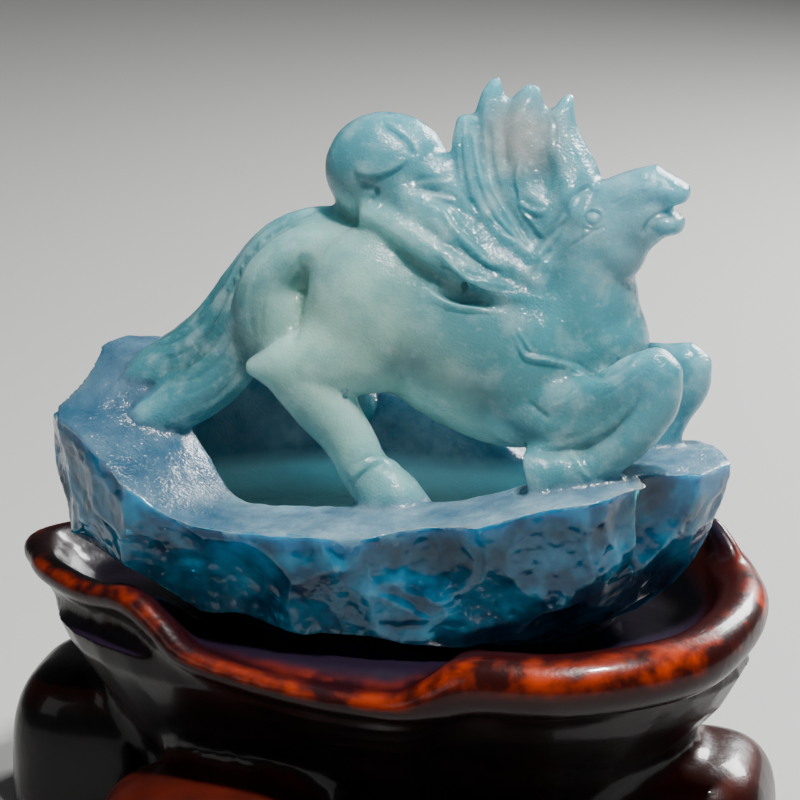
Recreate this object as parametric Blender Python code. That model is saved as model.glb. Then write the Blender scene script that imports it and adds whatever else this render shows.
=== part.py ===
"""A leaping horse carved from one aquamarine crystal, resting in a lacquered hardwood stand.

The stone is one solid: the horse grows out of the rough crystal that it was cut from. The stand is a
second solid, a carved bowl on a lobed foot, with a recess cut to the outline of the crystal's keel.
All sizes are in millimetres. The stand's foot is at z 0, and +X is the way that the horse faces.
"""

import math

import bmesh
import bpy
import numpy as np

for leftover in list(bpy.data.objects):
    bpy.data.objects.remove(leftover)

MM = 0.001

# Driving sizes
STONE_LENGTH = 107.0
SEAT_HEIGHT = 38.5
RECESS_DEPTH = 1.0
SEAT_GAP = 0.3
SEAT_CLEARANCE = 0.9

# The forms are drawn for a stone of this length on a seat of this height, and follow the sizes above
DRAWN_LENGTH = 107.0
DRAWN_SEAT = 38.5
STONE_SCALE = STONE_LENGTH / DRAWN_LENGTH
# The height of the stone's flat underside in its drawing, and how far forms reach past a cut
UNDERSIDE = 4.5
SPARE = 6.0

# How finely the forms are merged, and how many triangles are kept
STONE_VOXEL = 0.85
STAND_VOXEL = 1.3
STONE_TRIANGLES = 6600
STAND_TRIANGLES = 2600

# The crystal's outline seen from above, widest level, counter-clockwise from the tail end
CRYSTAL_PLAN = [
    (-55.5, 0.0), (-51.0, -12.0), (-38.0, -22.5), (-14.0, -27.5), (12.0, -28.0), (34.0, -23.0),
    (46.0, -12.0), (51.0, 1.0), (45.0, 14.0), (27.0, 22.0), (2.0, 24.0), (-24.0, 22.0), (-45.0, 13.5),
]
CRYSTAL_CENTRE = (0.0, -3.0)
# Height in the drawing, and the share of the plan's reach to the left, right, front and back there
CRYSTAL_LEVELS = [
    (4.5, 0.47, 0.62, 0.45, 0.72), (7.7, 0.64, 0.76, 0.85, 0.90), (11.7, 0.85, 0.87, 0.96, 0.95),
    (16.2, 0.97, 0.92, 0.99, 0.98), (21.0, 1.0, 0.96, 1.01, 1.0), (28.0, 1.01, 1.0, 1.02, 1.01),
    (33.0, 1.01, 1.01, 1.02, 1.01), (60.0, 0.97, 1.0, 1.0, 1.01),
]
BASIN_FLOOR = 20.0
CRYSTAL_TOP = 60.0

# Stations of a loft: x, y, height above the stone's underside, radius across, radius in the other way
# The rim of the basin, from the tail end round the front to the right-hand shelf (radii: up, sideways)
FRONT_RIM = [
    (-41.0, 8.0, 32.5, 13.0, 9.0), (-45.0, -3.0, 27.5, 11.5, 12.0), (-38.5, -12.5, 23.5, 9.5, 12.5),
    (-28.0, -18.5, 19.0, 6.6, 12.0), (-15.0, -20.5, 18.8, 6.6, 11.0), (0.0, -20.5, 19.5, 7.0, 10.5),
    (14.0, -19.5, 20.5, 7.8, 10.5), (26.0, -18.0, 22.5, 9.0, 11.0), (36.0, -14.0, 24.2, 9.0, 11.0),
    (44.0, -4.0, 24.0, 8.6, 10.0), (43.0, 8.0, 23.5, 8.6, 9.0),
]
BACK_WALL = [
    (-43.0, 5.0, 31.5, 13.0, 9.0), (-35.0, 13.0, 30.0, 12.5, 8.0), (-24.0, 18.5, 27.5, 12.0, 6.5),
    (-14.0, 20.0, 25.0, 11.0, 5.5), (-5.0, 20.0, 23.5, 10.5, 5.0), (4.0, 19.5, 21.5, 10.0, 4.8),
    (12.0, 19.0, 17.8, 9.0, 4.6), (22.0, 18.5, 16.0, 7.5, 5.0), (34.0, 16.0, 20.0, 9.0, 6.5),
    (43.0, 8.0, 23.5, 8.6, 9.0),
]
# Shells broken off the crystal's faces: centre x, y, height, then radii
CHIPS = [
    ((-37.0, -60.0, 9.0), (44.0, 42.0, 30.0)), ((-8.0, -70.0, 7.0), (36.0, 46.0, 26.0)),
    ((11.0, -72.0, 22.0), (26.0, 47.5, 26.0)), ((30.0, -58.0, 6.0), (30.0, 36.5, 26.0)),
    ((62.0, -16.0, 6.0), (17.0, 26.0, 22.0)), ((-66.0, -18.0, 20.0), (17.5, 20.0, 30.0)),
    ((-66.0, -6.0, 56.0), (22.0, 32.0, 24.0)), ((22.0, 58.0, 16.0), (40.0, 37.0, 26.0)),
    ((-20.0, 62.0, 26.0), (34.0, 40.0, 30.0)), ((-64.0, 26.0, 24.0), (24.0, 21.0, 26.0)),
    ((61.0, 24.0, 20.0), (19.0, 17.0, 26.0)),
]
# The block broken out of the front right corner: its inner corner, its size, and its turn in degrees
CORNER_BREAK = ((38.8, -14.0, -6.0), (30.0, 30.0, 70.0), 22.0)
MOUTH = ((44.6, -2.0, 71.5), (3.6, 6.0, 1.15))

TORSO = [
    (-8.5, 0.0, 57.5, 9.5, 9.0), (-3.0, 0.0, 55.5, 12.0, 12.5), (4.0, 0.0, 53.5, 12.8, 14.0),
    (12.0, 0.0, 50.5, 13.4, 15.5), (20.0, 0.0, 48.2, 13.2, 15.6), (27.0, 0.0, 49.0, 12.0, 12.5),
    (31.0, 0.0, 51.5, 10.0, 8.5),
]
NECK = [
    (23.0, 0.0, 49.0, 11.0, 11.0), (27.5, -0.4, 54.5, 9.8, 9.6), (28.8, -0.8, 61.0, 7.8, 7.4),
    (29.8, -1.4, 66.0, 6.4, 6.4),
]
HEAD = [
    (27.5, -1.5, 66.0, 6.0, 6.0), (31.0, -1.6, 67.8, 5.9, 6.6), (35.0, -1.8, 69.6, 4.9, 5.8),
    (38.2, -2.0, 71.2, 4.0, 4.8),
]
UPPER_JAW = [(33.0, -1.8, 72.0, 4.4, 3.8), (38.0, -2.0, 74.6, 3.8, 3.0), (42.9, -2.0, 73.9, 3.0, 1.7)]
NOSTRIL_RIDGE = [(36.0, -2.0, 75.2, 3.0, 2.0), (39.0, -2.0, 77.1, 2.2, 1.0)]
LOWER_JAW = [(33.0, -1.8, 66.8, 4.2, 4.0), (38.0, -2.0, 69.0, 3.4, 2.5), (42.2, -2.0, 69.3, 2.8, 1.7)]
CHEEK = ((31.8, -1.8, 65.5), (6.3, 5.8, 6.4))

NEAR_HAUNCH = ((-3.0, -6.0, 54.5), (10.8, 7.5, 13.0))
FAR_HAUNCH = ((-3.0, 6.0, 54.5), (10.8, 7.5, 13.0))
NEAR_SHOULDER = ((20.5, -7.5, 47.5), (9.0, 6.5, 12.5))
FAR_SHOULDER = ((21.5, 7.0, 47.5), (9.0, 6.5, 12.0))
BACK_CURL = ((-1.9, 0.0, 74.8), (9.6, 6.8, 8.9))

NEAR_GASKIN = [
    (-4.0, -8.0, 50.0, 5.0, 8.5), (-11.0, -9.3, 47.0, 4.4, 6.0), (-16.5, -10.0, 46.0, 3.6, 4.2),
    (-20.6, -10.0, 45.7, 2.0, 1.6),
]
NEAR_HIND_CANNON = [
    (-15.0, -10.0, 45.6, 3.6, 4.4), (-10.2, -10.0, 40.6, 3.8, 4.8), (-6.0, -10.3, 35.6, 3.5, 4.1),
    (-3.4, -11.0, 31.0, 3.6, 3.9), (-1.5, -11.5, 28.5, 3.8, 3.8),
]
NEAR_HIND_HOOF = [(-0.4, -11.8, 30.2, 3.4, 3.2), (0.8, -12.0, 27.4, 4.4, 4.8), (1.6, -12.0, 24.3, 4.9, 6.2)]
FAR_HIND_LEG = [
    (-4.0, 7.5, 50.0, 5.0, 8.0), (-8.0, 10.0, 45.0, 4.2, 5.4), (-11.5, 12.5, 39.0, 3.8, 4.2),
    (-11.0, 15.0, 32.0, 3.8, 4.0),
]
NEAR_FOREARM = [
    (19.0, -8.5, 44.0, 4.6, 6.0), (27.5, -10.8, 43.3, 4.0, 4.4), (33.0, -12.0, 44.4, 3.6, 3.9),
    (38.5, -12.6, 48.0, 3.4, 4.0), (41.6, -12.8, 50.2, 3.2, 3.2),
]
NEAR_ELBOW = [
    (18.0, -8.0, 44.0, 5.0, 6.0), (25.0, -10.6, 40.6, 4.2, 5.2), (31.0, -12.0, 40.6, 3.6, 4.0),
    (38.0, -12.6, 45.0, 3.2, 3.4),
]
NEAR_FORE_CANNON = [
    (41.8, -13.0, 49.6, 3.3, 3.4), (41.1, -13.3, 45.0, 3.5, 3.7), (38.3, -13.8, 40.3, 3.4, 3.4),
    (34.5, -14.2, 36.4, 3.1, 3.0), (31.5, -14.5, 34.3, 3.0, 2.8),
]
NEAR_FORE_HOOF = [(32.0, -14.6, 34.6, 3.2, 2.6), (27.8, -14.6, 33.6, 3.9, 3.7), (23.2, -14.6, 32.4, 4.4, 4.6)]
FAR_FOREARM = [
    (22.0, 7.5, 46.0, 5.0, 6.0), (32.0, 9.0, 44.0, 3.8, 4.2), (39.0, 8.8, 44.0, 3.4, 3.6),
    (43.6, 8.3, 45.0, 3.1, 3.2),
]
FAR_FORE_CANNON = [
    (43.8, 8.3, 44.8, 3.2, 3.3), (43.2, 8.2, 41.0, 3.4, 3.4), (40.8, 8.0, 36.4, 3.0, 3.0),
    (38.6, 8.0, 31.0, 3.4, 3.4),
]

TAIL = [
    [(-7.0, 0.5, 65.0, 4.0, 3.0), (-13.0, 1.0, 65.4, 4.2, 3.2), (-19.5, 1.8, 61.6, 4.4, 3.8),
     (-24.0, 2.6, 55.0, 4.8, 4.6), (-28.0, 2.4, 48.8, 5.2, 5.0), (-33.0, 1.2, 44.2, 5.4, 4.8),
     (-38.5, -0.4, 41.2, 5.0, 4.2), (-43.0, -1.5, 38.6, 3.6, 2.8)],
    [(-8.0, -2.5, 64.0, 4.0, 3.4), (-14.5, -3.6, 62.6, 4.0, 3.8), (-19.3, -4.4, 58.0, 3.8, 4.4),
     (-19.4, -4.6, 51.5, 3.6, 6.6), (-18.4, -4.6, 46.4, 3.0, 5.4)],
    [(-18.0, -1.5, 59.0, 4.0, 4.0), (-23.5, -1.6, 50.5, 4.4, 4.6), (-27.0, -2.8, 43.5, 4.4, 4.8),
     (-32.0, -4.6, 38.6, 4.2, 4.4), (-38.0, -6.4, 35.4, 3.6, 3.6), (-42.5, -7.4, 33.4, 2.6, 2.4)],
]
MANE = [
    [(25.0, -1.0, 64.5, 6.5, 5.0), (18.0, 0.0, 72.0, 5.2, 4.4), (14.6, 1.5, 79.5, 4.0, 3.5),
     (13.7, 2.0, 85.5, 2.6, 2.3), (14.3, 2.0, 89.0, 0.9, 0.7)],
    [(26.0, -1.0, 66.0, 6.5, 5.0), (20.6, 0.5, 73.5, 5.6, 4.8), (18.9, 1.5, 80.5, 4.2, 3.9),
     (19.1, 2.0, 85.2, 2.8, 2.8), (19.6, 2.0, 87.4, 1.4, 1.6)],
    [(28.0, -1.5, 69.0, 6.2, 4.4), (25.6, 0.5, 75.0, 5.6, 4.6), (24.2, 1.5, 81.5, 3.6, 2.8),
     (24.7, 2.0, 85.0, 2.2, 1.6), (25.4, 2.0, 86.6, 1.0, 0.8)],
    [(23.0, -3.0, 62.5, 6.0, 4.5), (15.8, -2.4, 69.0, 5.0, 4.0), (11.9, -1.6, 75.0, 3.8, 3.2),
     (10.3, -1.0, 80.0, 2.8, 2.3), (10.0, -0.5, 83.0, 1.6, 1.4)],
    [(22.5, -5.0, 60.5, 5.0, 3.6), (14.0, -5.6, 64.5, 4.6, 3.5), (7.5, -5.6, 69.0, 4.0, 3.2),
     (2.0, -4.5, 72.0, 3.2, 2.6)],
    [(23.5, -6.4, 58.0, 4.0, 2.5), (16.0, -8.4, 60.0, 3.6, 2.6), (9.0, -8.6, 63.6, 3.6, 2.6),
     (2.5, -7.4, 67.4, 3.4, 2.4), (-3.5, -5.6, 69.4, 2.8, 2.0)],
    [(23.5, 5.0, 59.5, 5.0, 3.6), (15.0, 6.6, 63.0, 4.4, 3.4), (7.5, 6.2, 67.5, 4.0, 3.2),
     (1.0, 4.6, 71.0, 3.2, 2.6)],
    [(25.0, 3.6, 64.0, 4.6, 4.4), (18.5, 5.2, 71.0, 3.6, 4.0), (16.5, 5.0, 78.0, 2.6, 3.0),
     (17.4, 4.4, 82.5, 1.4, 1.4)],
    [(13.0, -3.0, 69.0, 4.0, 4.6), (8.0, -2.4, 73.4, 4.0, 4.2), (3.0, -1.6, 76.0, 3.6, 3.6)],
    [(22.5, 0.4, 66.0, 5.4, 8.6), (20.4, 1.2, 74.0, 4.9, 9.4), (19.6, 1.8, 80.0, 3.4, 7.8),
     (19.8, 2.0, 83.0, 2.0, 5.4)],
]

# The outside of the stand's bowl: height, then its reach to the left, right, front and back
BOWL_LEVELS = [
    (-2.0, 36.0, 38.0, 18.0, 18.0), (13.0, 38.5, 39.0, 18.0, 18.5), (22.0, 45.5, 46.0, 22.5, 22.0),
    (29.0, 49.5, 52.0, 27.5, 26.5), (34.5, 53.0, 55.0, 31.0, 30.0), (37.6, 55.0, 54.0, 30.5, 29.5),
    (39.6, 52.0, 48.0, 26.5, 26.5),
]
# The rolled rim, from the tail end round the front: x, y, height, radius up, radius sideways
RIM = [
    (-60.0, 6.0, 43.4, 2.2, 2.5), (-56.6, -4.2, 43.6, 2.1, 2.4), (-51.0, -11.0, 43.6, 2.1, 2.4),
    (-44.5, -16.2, 43.7, 2.2, 2.4), (-37.5, -21.0, 44.8, 2.4, 2.6), (-32.0, -24.2, 42.2, 2.2, 2.5),
    (-27.0, -27.2, 39.2, 2.0, 2.4), (-17.5, -29.4, 37.2, 2.0, 2.4), (-5.0, -31.4, 36.0, 2.1, 2.5),
    (6.5, -32.4, 35.9, 2.3, 2.6), (12.5, -32.2, 37.8, 3.6, 3.8), (18.5, -31.5, 40.0, 4.8, 4.8),
    (30.0, -31.0, 40.4, 4.8, 5.0), (41.0, -27.0, 41.2, 4.8, 5.0), (48.5, -20.0, 41.6, 4.6, 4.8),
    (52.6, -9.0, 42.4, 4.2, 4.4), (53.4, 1.0, 42.8, 4.0, 4.2), (52.0, 9.0, 42.8, 3.9, 4.0),
    (48.5, 17.5, 43.6, 3.6, 3.8), (42.5, 25.5, 43.6, 3.2, 3.4), (30.0, 30.0, 42.4, 2.8, 3.0),
    (12.0, 31.5, 39.8, 2.6, 2.8), (-10.0, 31.5, 38.6, 2.4, 2.6), (-32.0, 29.0, 39.6, 2.4, 2.6),
    (-50.0, 20.0, 41.8, 2.4, 2.6),
]
# The leaf that rises from the rim at the back right, and the folds at the ends of the rim's steps
RIM_LEAF = [
    (50.5, 13.5, 41.0, 3.0, 6.0), (49.2, 14.8, 45.5, 2.3, 4.4), (47.6, 16.2, 49.2, 1.6, 2.4),
    (46.6, 17.0, 51.2, 0.8, 0.8),
]
RIM_FOLDS = [
    [(-37.8, -21.4, 44.6, 2.2, 2.4), (-34.6, -18.6, 43.0, 2.0, 2.4), (-31.0, -15.4, 40.0, 1.6, 2.0)],
    [(15.0, -32.0, 39.6, 3.4, 3.0), (17.0, -27.5, 40.6, 3.0, 3.2), (20.5, -23.5, 39.6, 2.2, 2.6)],
]
# The bowl's wall under the rim is drawn as rolls, each this much lower than the last, this thick, and
# further in by these shares of its length and width
WALL_DROP = 2.6
WALL_RADIUS = 2.4
WALL_TUCK = (0.05, 0.07)
WALL_ROLLS = 3
# The lobes of the foot: centre, then radii
FOOT_LOBES = [
    ((-51.0, 9.0, 4.0), (14.5, 15.5, 20.5)), ((-24.0, -24.5, 3.0), (19.0, 12.5, 15.5)),
    ((14.0, -22.0, 0.0), (18.0, 12.0, 11.0)), ((44.0, 2.0, 4.0), (15.4, 16.0, 15.5)),
    ((20.0, 22.0, 4.0), (21.0, 12.5, 14.0)), ((-22.0, 23.0, 4.0), (19.0, 12.5, 15.5)),
]


def smooth_stations(stations, steps):
    """Points on a smooth curve through the stations, with the radii carried along."""
    known = np.array(stations, float)
    padded = np.vstack([2 * known[0] - known[1], known, 2 * known[-1] - known[-2]])
    rows = []
    for i in range(len(known) - 1):
        a, b, c, d = padded[i:i + 4]
        for t in np.arange(steps) / steps:
            square, cube = 2 * a - 5 * b + 4 * c - d, 3 * b - a - 3 * c + d
            rows.append(0.5 * (2 * b + (c - a) * t + square * t**2 + cube * t**3))
    return np.vstack([rows, known[-1]])


def loft(stations, across=(0.0, 1.0, 0.0), sides=14, steps=4, power=2.0, caps=(0.8, 0.8)):
    """Rings along a path, closed by domed caps: the vertices and the faces."""
    rows = smooth_stations(stations, steps)
    centres = rows[:, :3]
    radii = np.maximum(rows[:, 3:5], 0.2)
    tangents = np.gradient(centres, axis=0)
    tangents /= np.linalg.norm(tangents, axis=1)[:, None]
    dome = np.radians([75.0, 50.0, 25.0])
    head = [(0, -math.sin(a) * caps[0], math.cos(a)) for a in dome]
    tail = [(-1, math.sin(a) * caps[1], math.cos(a)) for a in dome[::-1]]
    plain = [(i, 0.0, 1.0) for i in range(len(rows))]
    angles = np.arange(sides) * 2 * math.pi / sides
    wave = np.stack([np.cos(angles), np.sin(angles)], axis=1)
    section = np.sign(wave) * np.abs(wave) ** (2 / power)
    vertices = []
    for i, along, share in head + plain + tail:
        first = np.array(across) - np.dot(across, tangents[i]) * tangents[i]
        first /= np.linalg.norm(first)
        second = np.cross(tangents[i], first)
        centre = centres[i] + tangents[i] * along * radii[i].min()
        for p, q in section * radii[i] * share:
            vertices.append(centre + first * p + second * q)
    rings = len(vertices) // sides
    faces = [tuple(range(sides))[::-1], tuple(range((rings - 1) * sides, rings * sides))]
    for r in range(rings - 1):
        for s in range(sides):
            t = (s + 1) % sides
            faces.append((r * sides + s, r * sides + t, (r + 1) * sides + t, (r + 1) * sides + s))
    return vertices, faces


def ellipsoid(centre, radii, rings=12, sides=18, power=2.0):
    """A closed ellipsoid as vertices and faces. A power above 2 makes it squarer."""
    vertices = []
    for r in range(1, rings):
        polar = math.pi * r / rings
        for s in range(sides):
            turn = 2 * math.pi * s / sides
            unit = np.array((
                math.sin(polar) * math.cos(turn), math.sin(polar) * math.sin(turn), math.cos(polar)
            ))
            vertices.append(np.array(centre) + np.array(radii) * np.sign(unit) * np.abs(unit) ** (2 / power))
    faces = [tuple(range(sides)), tuple(range((rings - 2) * sides, (rings - 1) * sides))[::-1]]
    for r in range(rings - 2):
        for s in range(sides):
            t = (s + 1) % sides
            faces.append((r * sides + s, (r + 1) * sides + s, (r + 1) * sides + t, r * sides + t))
    return vertices, faces


def stacked(levels, outline_at):
    """A closed stack of level outlines, given bottom first."""
    vertices = []
    for level in levels:
        vertices.extend(outline_at(level))
    sides = len(vertices) // len(levels)
    faces = [tuple(range(sides))[::-1], tuple(range(len(vertices) - sides, len(vertices)))]
    for r in range(len(levels) - 1):
        for s in range(sides):
            t = (s + 1) % sides
            faces.append((r * sides + s, r * sides + t, (r + 1) * sides + t, (r + 1) * sides + s))
    return vertices, faces


def make_object(name, *forms):
    """One mesh object that holds all the forms, with every face pointing out of its own form."""
    vertices, faces = [], []
    for form_vertices, form_faces in forms:
        start = len(vertices)
        vertices.extend([tuple(v) for v in form_vertices])
        faces.extend([tuple(i + start for i in face) for face in form_faces])
    mesh = bpy.data.meshes.new(name)
    mesh.from_pydata(vertices, [], faces)
    build = bmesh.new()
    build.from_mesh(mesh)
    bmesh.ops.recalc_face_normals(build, faces=build.faces)
    build.to_mesh(mesh)
    build.free()
    made = bpy.data.objects.new(name, mesh)
    bpy.context.scene.collection.objects.link(made)
    return made


def settle(made):
    """Replaces an object's mesh with what its modifiers make of it, and drops the modifiers."""
    graph = bpy.context.evaluated_depsgraph_get()
    final = bpy.data.meshes.new_from_object(made.evaluated_get(graph))
    made.modifiers.clear()
    made.data = final
    return made


def fuse(made, voxel, fillet=0.0, smoothing=0):
    """Merges overlapping forms into one skin, rounding the creases between them."""
    if fillet:
        swell = made.modifiers.new("swell", "DISPLACE")
        swell.mid_level = 0.0
        swell.strength = fillet
    remesh = made.modifiers.new("merge", "REMESH")
    remesh.mode = "VOXEL"
    remesh.voxel_size = voxel
    if fillet:
        shrink = made.modifiers.new("shrink", "DISPLACE")
        shrink.mid_level = 0.0
        shrink.strength = -fillet
    if smoothing:
        smooth = made.modifiers.new("smooth", "SMOOTH")
        smooth.factor = 0.5
        smooth.iterations = smoothing
    return settle(made)


def boolean(made, other, operation):
    """Joins, cuts or intersects with another object, which is then removed."""
    modifier = made.modifiers.new(operation.lower(), "BOOLEAN")
    modifier.operation = operation
    modifier.solver = "EXACT"
    modifier.object = other
    settle(made)
    bpy.data.objects.remove(other)
    return made


def thin_out(made, triangles):
    """Collapses edges until about this many triangles are left."""
    made.data.calc_loop_triangles()
    decimate = made.modifiers.new("thin out", "DECIMATE")
    decimate.ratio = min(1.0, triangles / len(made.data.loop_triangles))
    decimate.use_collapse_triangulate = True
    return settle(made)


def level_cut(made, height):
    """Cuts off everything below a height, and closes the cut with a flat face."""
    build = bmesh.new()
    build.from_mesh(made.data)
    geometry = build.verts[:] + build.edges[:] + build.faces[:]
    bmesh.ops.bisect_plane(
        build, geom=geometry, dist=1e-5, plane_co=(0, 0, height), plane_no=(0, 0, 1), clear_inner=True
    )
    rim = [edge for edge in build.edges if edge.is_boundary]
    bmesh.ops.holes_fill(build, edges=rim)
    bmesh.ops.triangulate(build, faces=build.faces)
    bmesh.ops.recalc_face_normals(build, faces=build.faces)
    build.to_mesh(made.data)
    build.free()
    return made


def keep_largest(made):
    """Removes loose crumbs and sealed pockets, so that one closed skin is left."""
    build = bmesh.new()
    build.from_mesh(made.data)
    unseen = set(build.verts)
    islands = []
    while unseen:
        front = [unseen.pop()]
        island = list(front)
        while front:
            vertex = front.pop()
            for edge in vertex.link_edges:
                other = edge.other_vert(vertex)
                if other in unseen:
                    unseen.remove(other)
                    front.append(other)
                    island.append(other)
        islands.append(island)
    islands.sort(key=len)
    for island in islands[:-1]:
        bmesh.ops.delete(build, geom=island, context="VERTS")
    build.to_mesh(made.data)
    build.free()
    return made


def crystal_outline(height, grow=0.0):
    """The crystal's outline at a height in the drawing, made larger all round by grow."""
    levels = np.array(CRYSTAL_LEVELS)
    left, right, front, back = (np.interp(height, levels[:, 0], levels[:, k]) for k in range(1, 5))
    points = []
    for x, y in np.array(CRYSTAL_PLAN) - CRYSTAL_CENTRE:
        x *= left if x < 0 else right
        y *= front if y < 0 else back
        reach = math.hypot(x, y)
        points.append((
            CRYSTAL_CENTRE[0] + x * (1 + grow / reach), CRYSTAL_CENTRE[1] + y * (1 + grow / reach), height
        ))
    return points


def crystal_hull(bottom, top, grow=0.0):
    """The crystal before it was carved, between two heights in the drawing."""
    inner = [row[0] for row in CRYSTAL_LEVELS if bottom < row[0] < top]
    return stacked([bottom] + inner + [top], lambda height: crystal_outline(height, grow))


def corner_block():
    """The block that is missing at the front right, turned about its inner corner."""
    (x, y, z), (wide, deep, tall), turn = CORNER_BREAK
    cos, sin = math.cos(math.radians(turn)), math.sin(math.radians(turn))
    corners = [(0.0, 0.0), (0.0, -deep), (wide, -deep), (wide, 0.0)]

    def level(height):
        lean = (height - z) * 0.06
        return [(x + a * cos - b * sin, y + a * sin + b * cos + lean, height) for a, b in corners]

    return stacked([z, z + tall], level)


def crystal():
    """The rough crystal with the basin that the horse stands in."""
    upright = (0.0, 0.0, 1.0)
    rims = make_object(
        "rims",
        loft(FRONT_RIM, across=upright, sides=20, power=4.0),
        loft(BACK_WALL, across=upright, sides=20, power=3.0),
        crystal_hull(UNDERSIDE - SPARE, BASIN_FLOOR, grow=SPARE),
    )
    fuse(rims, STONE_VOXEL, fillet=2.2, smoothing=4)
    rock = boolean(rims, make_object("hull", crystal_hull(UNDERSIDE - SPARE / 2, CRYSTAL_TOP)), "INTERSECT")
    for centre, radii in CHIPS:
        boolean(rock, make_object("chip", ellipsoid(centre, radii, 20, 28)), "DIFFERENCE")
    return boolean(rock, make_object("corner break", corner_block()), "DIFFERENCE")


def to_world(drawn):
    """Scales a form from the stone's drawing and sets it down in its seat."""
    for vertex in drawn.data.vertices:
        vertex.co.z -= UNDERSIDE
        vertex.co *= STONE_SCALE
        vertex.co.z += SEAT_HEIGHT + SEAT_GAP


def horse_trunk():
    """Torso, neck, haunches and shoulders, with soft creases between them."""
    trunk = make_object(
        "trunk",
        loft(TORSO, sides=24), loft(NECK, sides=20), ellipsoid(*NEAR_HAUNCH), ellipsoid(*FAR_HAUNCH),
        ellipsoid(*NEAR_SHOULDER), ellipsoid(*FAR_SHOULDER), loft(NEAR_GASKIN), loft(FAR_HIND_LEG),
    )
    return fuse(trunk, STONE_VOXEL, fillet=1.6, smoothing=3)


def horse_limbs():
    """Head, legs, tail, mane and the round curl on the back, with the mouth cut open."""
    flat_end = (0.8, 0.1)
    limbs = [
        loft(HEAD), ellipsoid(*CHEEK), loft(UPPER_JAW), loft(LOWER_JAW), loft(NOSTRIL_RIDGE),
        loft(NEAR_HIND_CANNON), loft(NEAR_HIND_HOOF, power=2.6, caps=flat_end),
        loft(NEAR_FOREARM), loft(NEAR_ELBOW), loft(NEAR_FORE_CANNON),
        loft(NEAR_FORE_HOOF, power=2.6, caps=flat_end), loft(FAR_FOREARM), loft(FAR_FORE_CANNON),
        ellipsoid(*BACK_CURL, 18, 24),
    ]
    limbs += [loft(lock) for lock in TAIL + MANE]
    made = fuse(make_object("limbs", *limbs), STONE_VOXEL * 0.8, fillet=0.3)
    return boolean(made, make_object("mouth", ellipsoid(*MOUTH)), "DIFFERENCE")


def join(name, *objects):
    """Gathers objects' meshes into one object, and removes them."""
    build = bmesh.new()
    for other in objects:
        build.from_mesh(other.data)
        bpy.data.objects.remove(other)
    mesh = bpy.data.meshes.new(name)
    build.to_mesh(mesh)
    build.free()
    made = bpy.data.objects.new(name, mesh)
    bpy.context.scene.collection.objects.link(made)
    return made


def carving():
    """The whole stone, set down in its seat."""
    stone = join("horse_carving", crystal(), horse_trunk(), horse_limbs())
    fuse(stone, STONE_VOXEL, fillet=0.35, smoothing=1)
    keep_largest(stone)
    thin_out(stone, STONE_TRIANGLES)
    level_cut(stone, UNDERSIDE)
    to_world(stone)
    return stone


def closed_path(stations):
    """The stations of a ring, with the first one again at the end, overlapping itself a little."""
    return stations + stations[:2]


def rim_wall(roll):
    """The stations of one of the rolls under the rim, which make the bowl's wall flare with it."""
    along, across = (1 - tuck * roll for tuck in WALL_TUCK)
    return [(x * along, y * across, z - WALL_DROP * roll, WALL_DROP, WALL_RADIUS) for x, y, z, *_ in RIM]


def stand_outline(height):
    """The outside of the bowl at a height: an oval that is a little squarer than an ellipse."""
    levels = np.array(BOWL_LEVELS)
    left, right, front, back = (np.interp(height, levels[:, 0], levels[:, k]) for k in range(1, 5))
    points = []
    for turn in np.radians(np.arange(0, 360, 10)):
        x = math.copysign(abs(math.cos(turn)) ** 0.85, math.cos(turn))
        y = math.copysign(abs(math.sin(turn)) ** 0.85, math.sin(turn))
        points.append((x * (left if x < 0 else right), y * (front if y < 0 else back), height))
    return points


def wooden_stand():
    """The bowl with its rolled rim on a foot of rounded lobes, and the recess for the crystal."""
    upright = (0.0, 0.0, 1.0)
    ledge = DRAWN_SEAT + RECESS_DEPTH / STONE_SCALE
    heights = [row[0] for row in BOWL_LEVELS if row[0] < ledge]
    stand = make_object(
        "wooden_stand",
        stacked(heights + [ledge], stand_outline),
        loft(closed_path(RIM), across=upright, sides=18, steps=5),
        *[
            loft(closed_path(rim_wall(roll)), across=upright, sides=18, steps=5)
            for roll in range(1, WALL_ROLLS + 1)
        ],
        loft(RIM_LEAF, across=(0.8, 0.6, 0.0)),
        *[loft(fold, across=upright) for fold in RIM_FOLDS],
        *[ellipsoid(centre, radii, power=3.4) for centre, radii in FOOT_LOBES],
    )
    fuse(stand, STAND_VOXEL, fillet=1.2, smoothing=2)
    for vertex in stand.data.vertices:
        vertex.co.x *= STONE_SCALE
        vertex.co.y *= STONE_SCALE
        if vertex.co.z > DRAWN_SEAT:
            vertex.co.z = SEAT_HEIGHT + (vertex.co.z - DRAWN_SEAT) * STONE_SCALE
        else:
            vertex.co.z *= SEAT_HEIGHT / DRAWN_SEAT
    seat = make_object("seat", crystal_hull(UNDERSIDE, CRYSTAL_TOP, grow=SEAT_CLEARANCE))
    to_world(seat)
    for vertex in seat.data.vertices:
        vertex.co.z -= SEAT_GAP
    thin_out(stand, STAND_TRIANGLES)
    boolean(stand, seat, "DIFFERENCE")
    level_cut(stand, 0.0)
    return keep_largest(stand)


def plain_material(name, colour, roughness, metallic=0.0):
    """A material of one colour."""
    material = bpy.data.materials.new(name)
    material.use_nodes = True
    shader = material.node_tree.nodes["Principled BSDF"]
    shader.inputs["Base Color"].default_value = (*colour, 1.0)
    shader.inputs["Roughness"].default_value = roughness
    shader.inputs["Metallic"].default_value = metallic
    return material


def place(pieces, scale):
    """Centres the pieces over the origin as one group, and turns their millimetres into metres."""
    corners = np.array([vertex.co for made in pieces for vertex in made.data.vertices])
    middle = (corners.min(axis=0) + corners.max(axis=0)) / 2
    for made in pieces:
        for vertex in made.data.vertices:
            vertex.co.x -= middle[0]
            vertex.co.y -= middle[1]
            vertex.co *= scale


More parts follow.
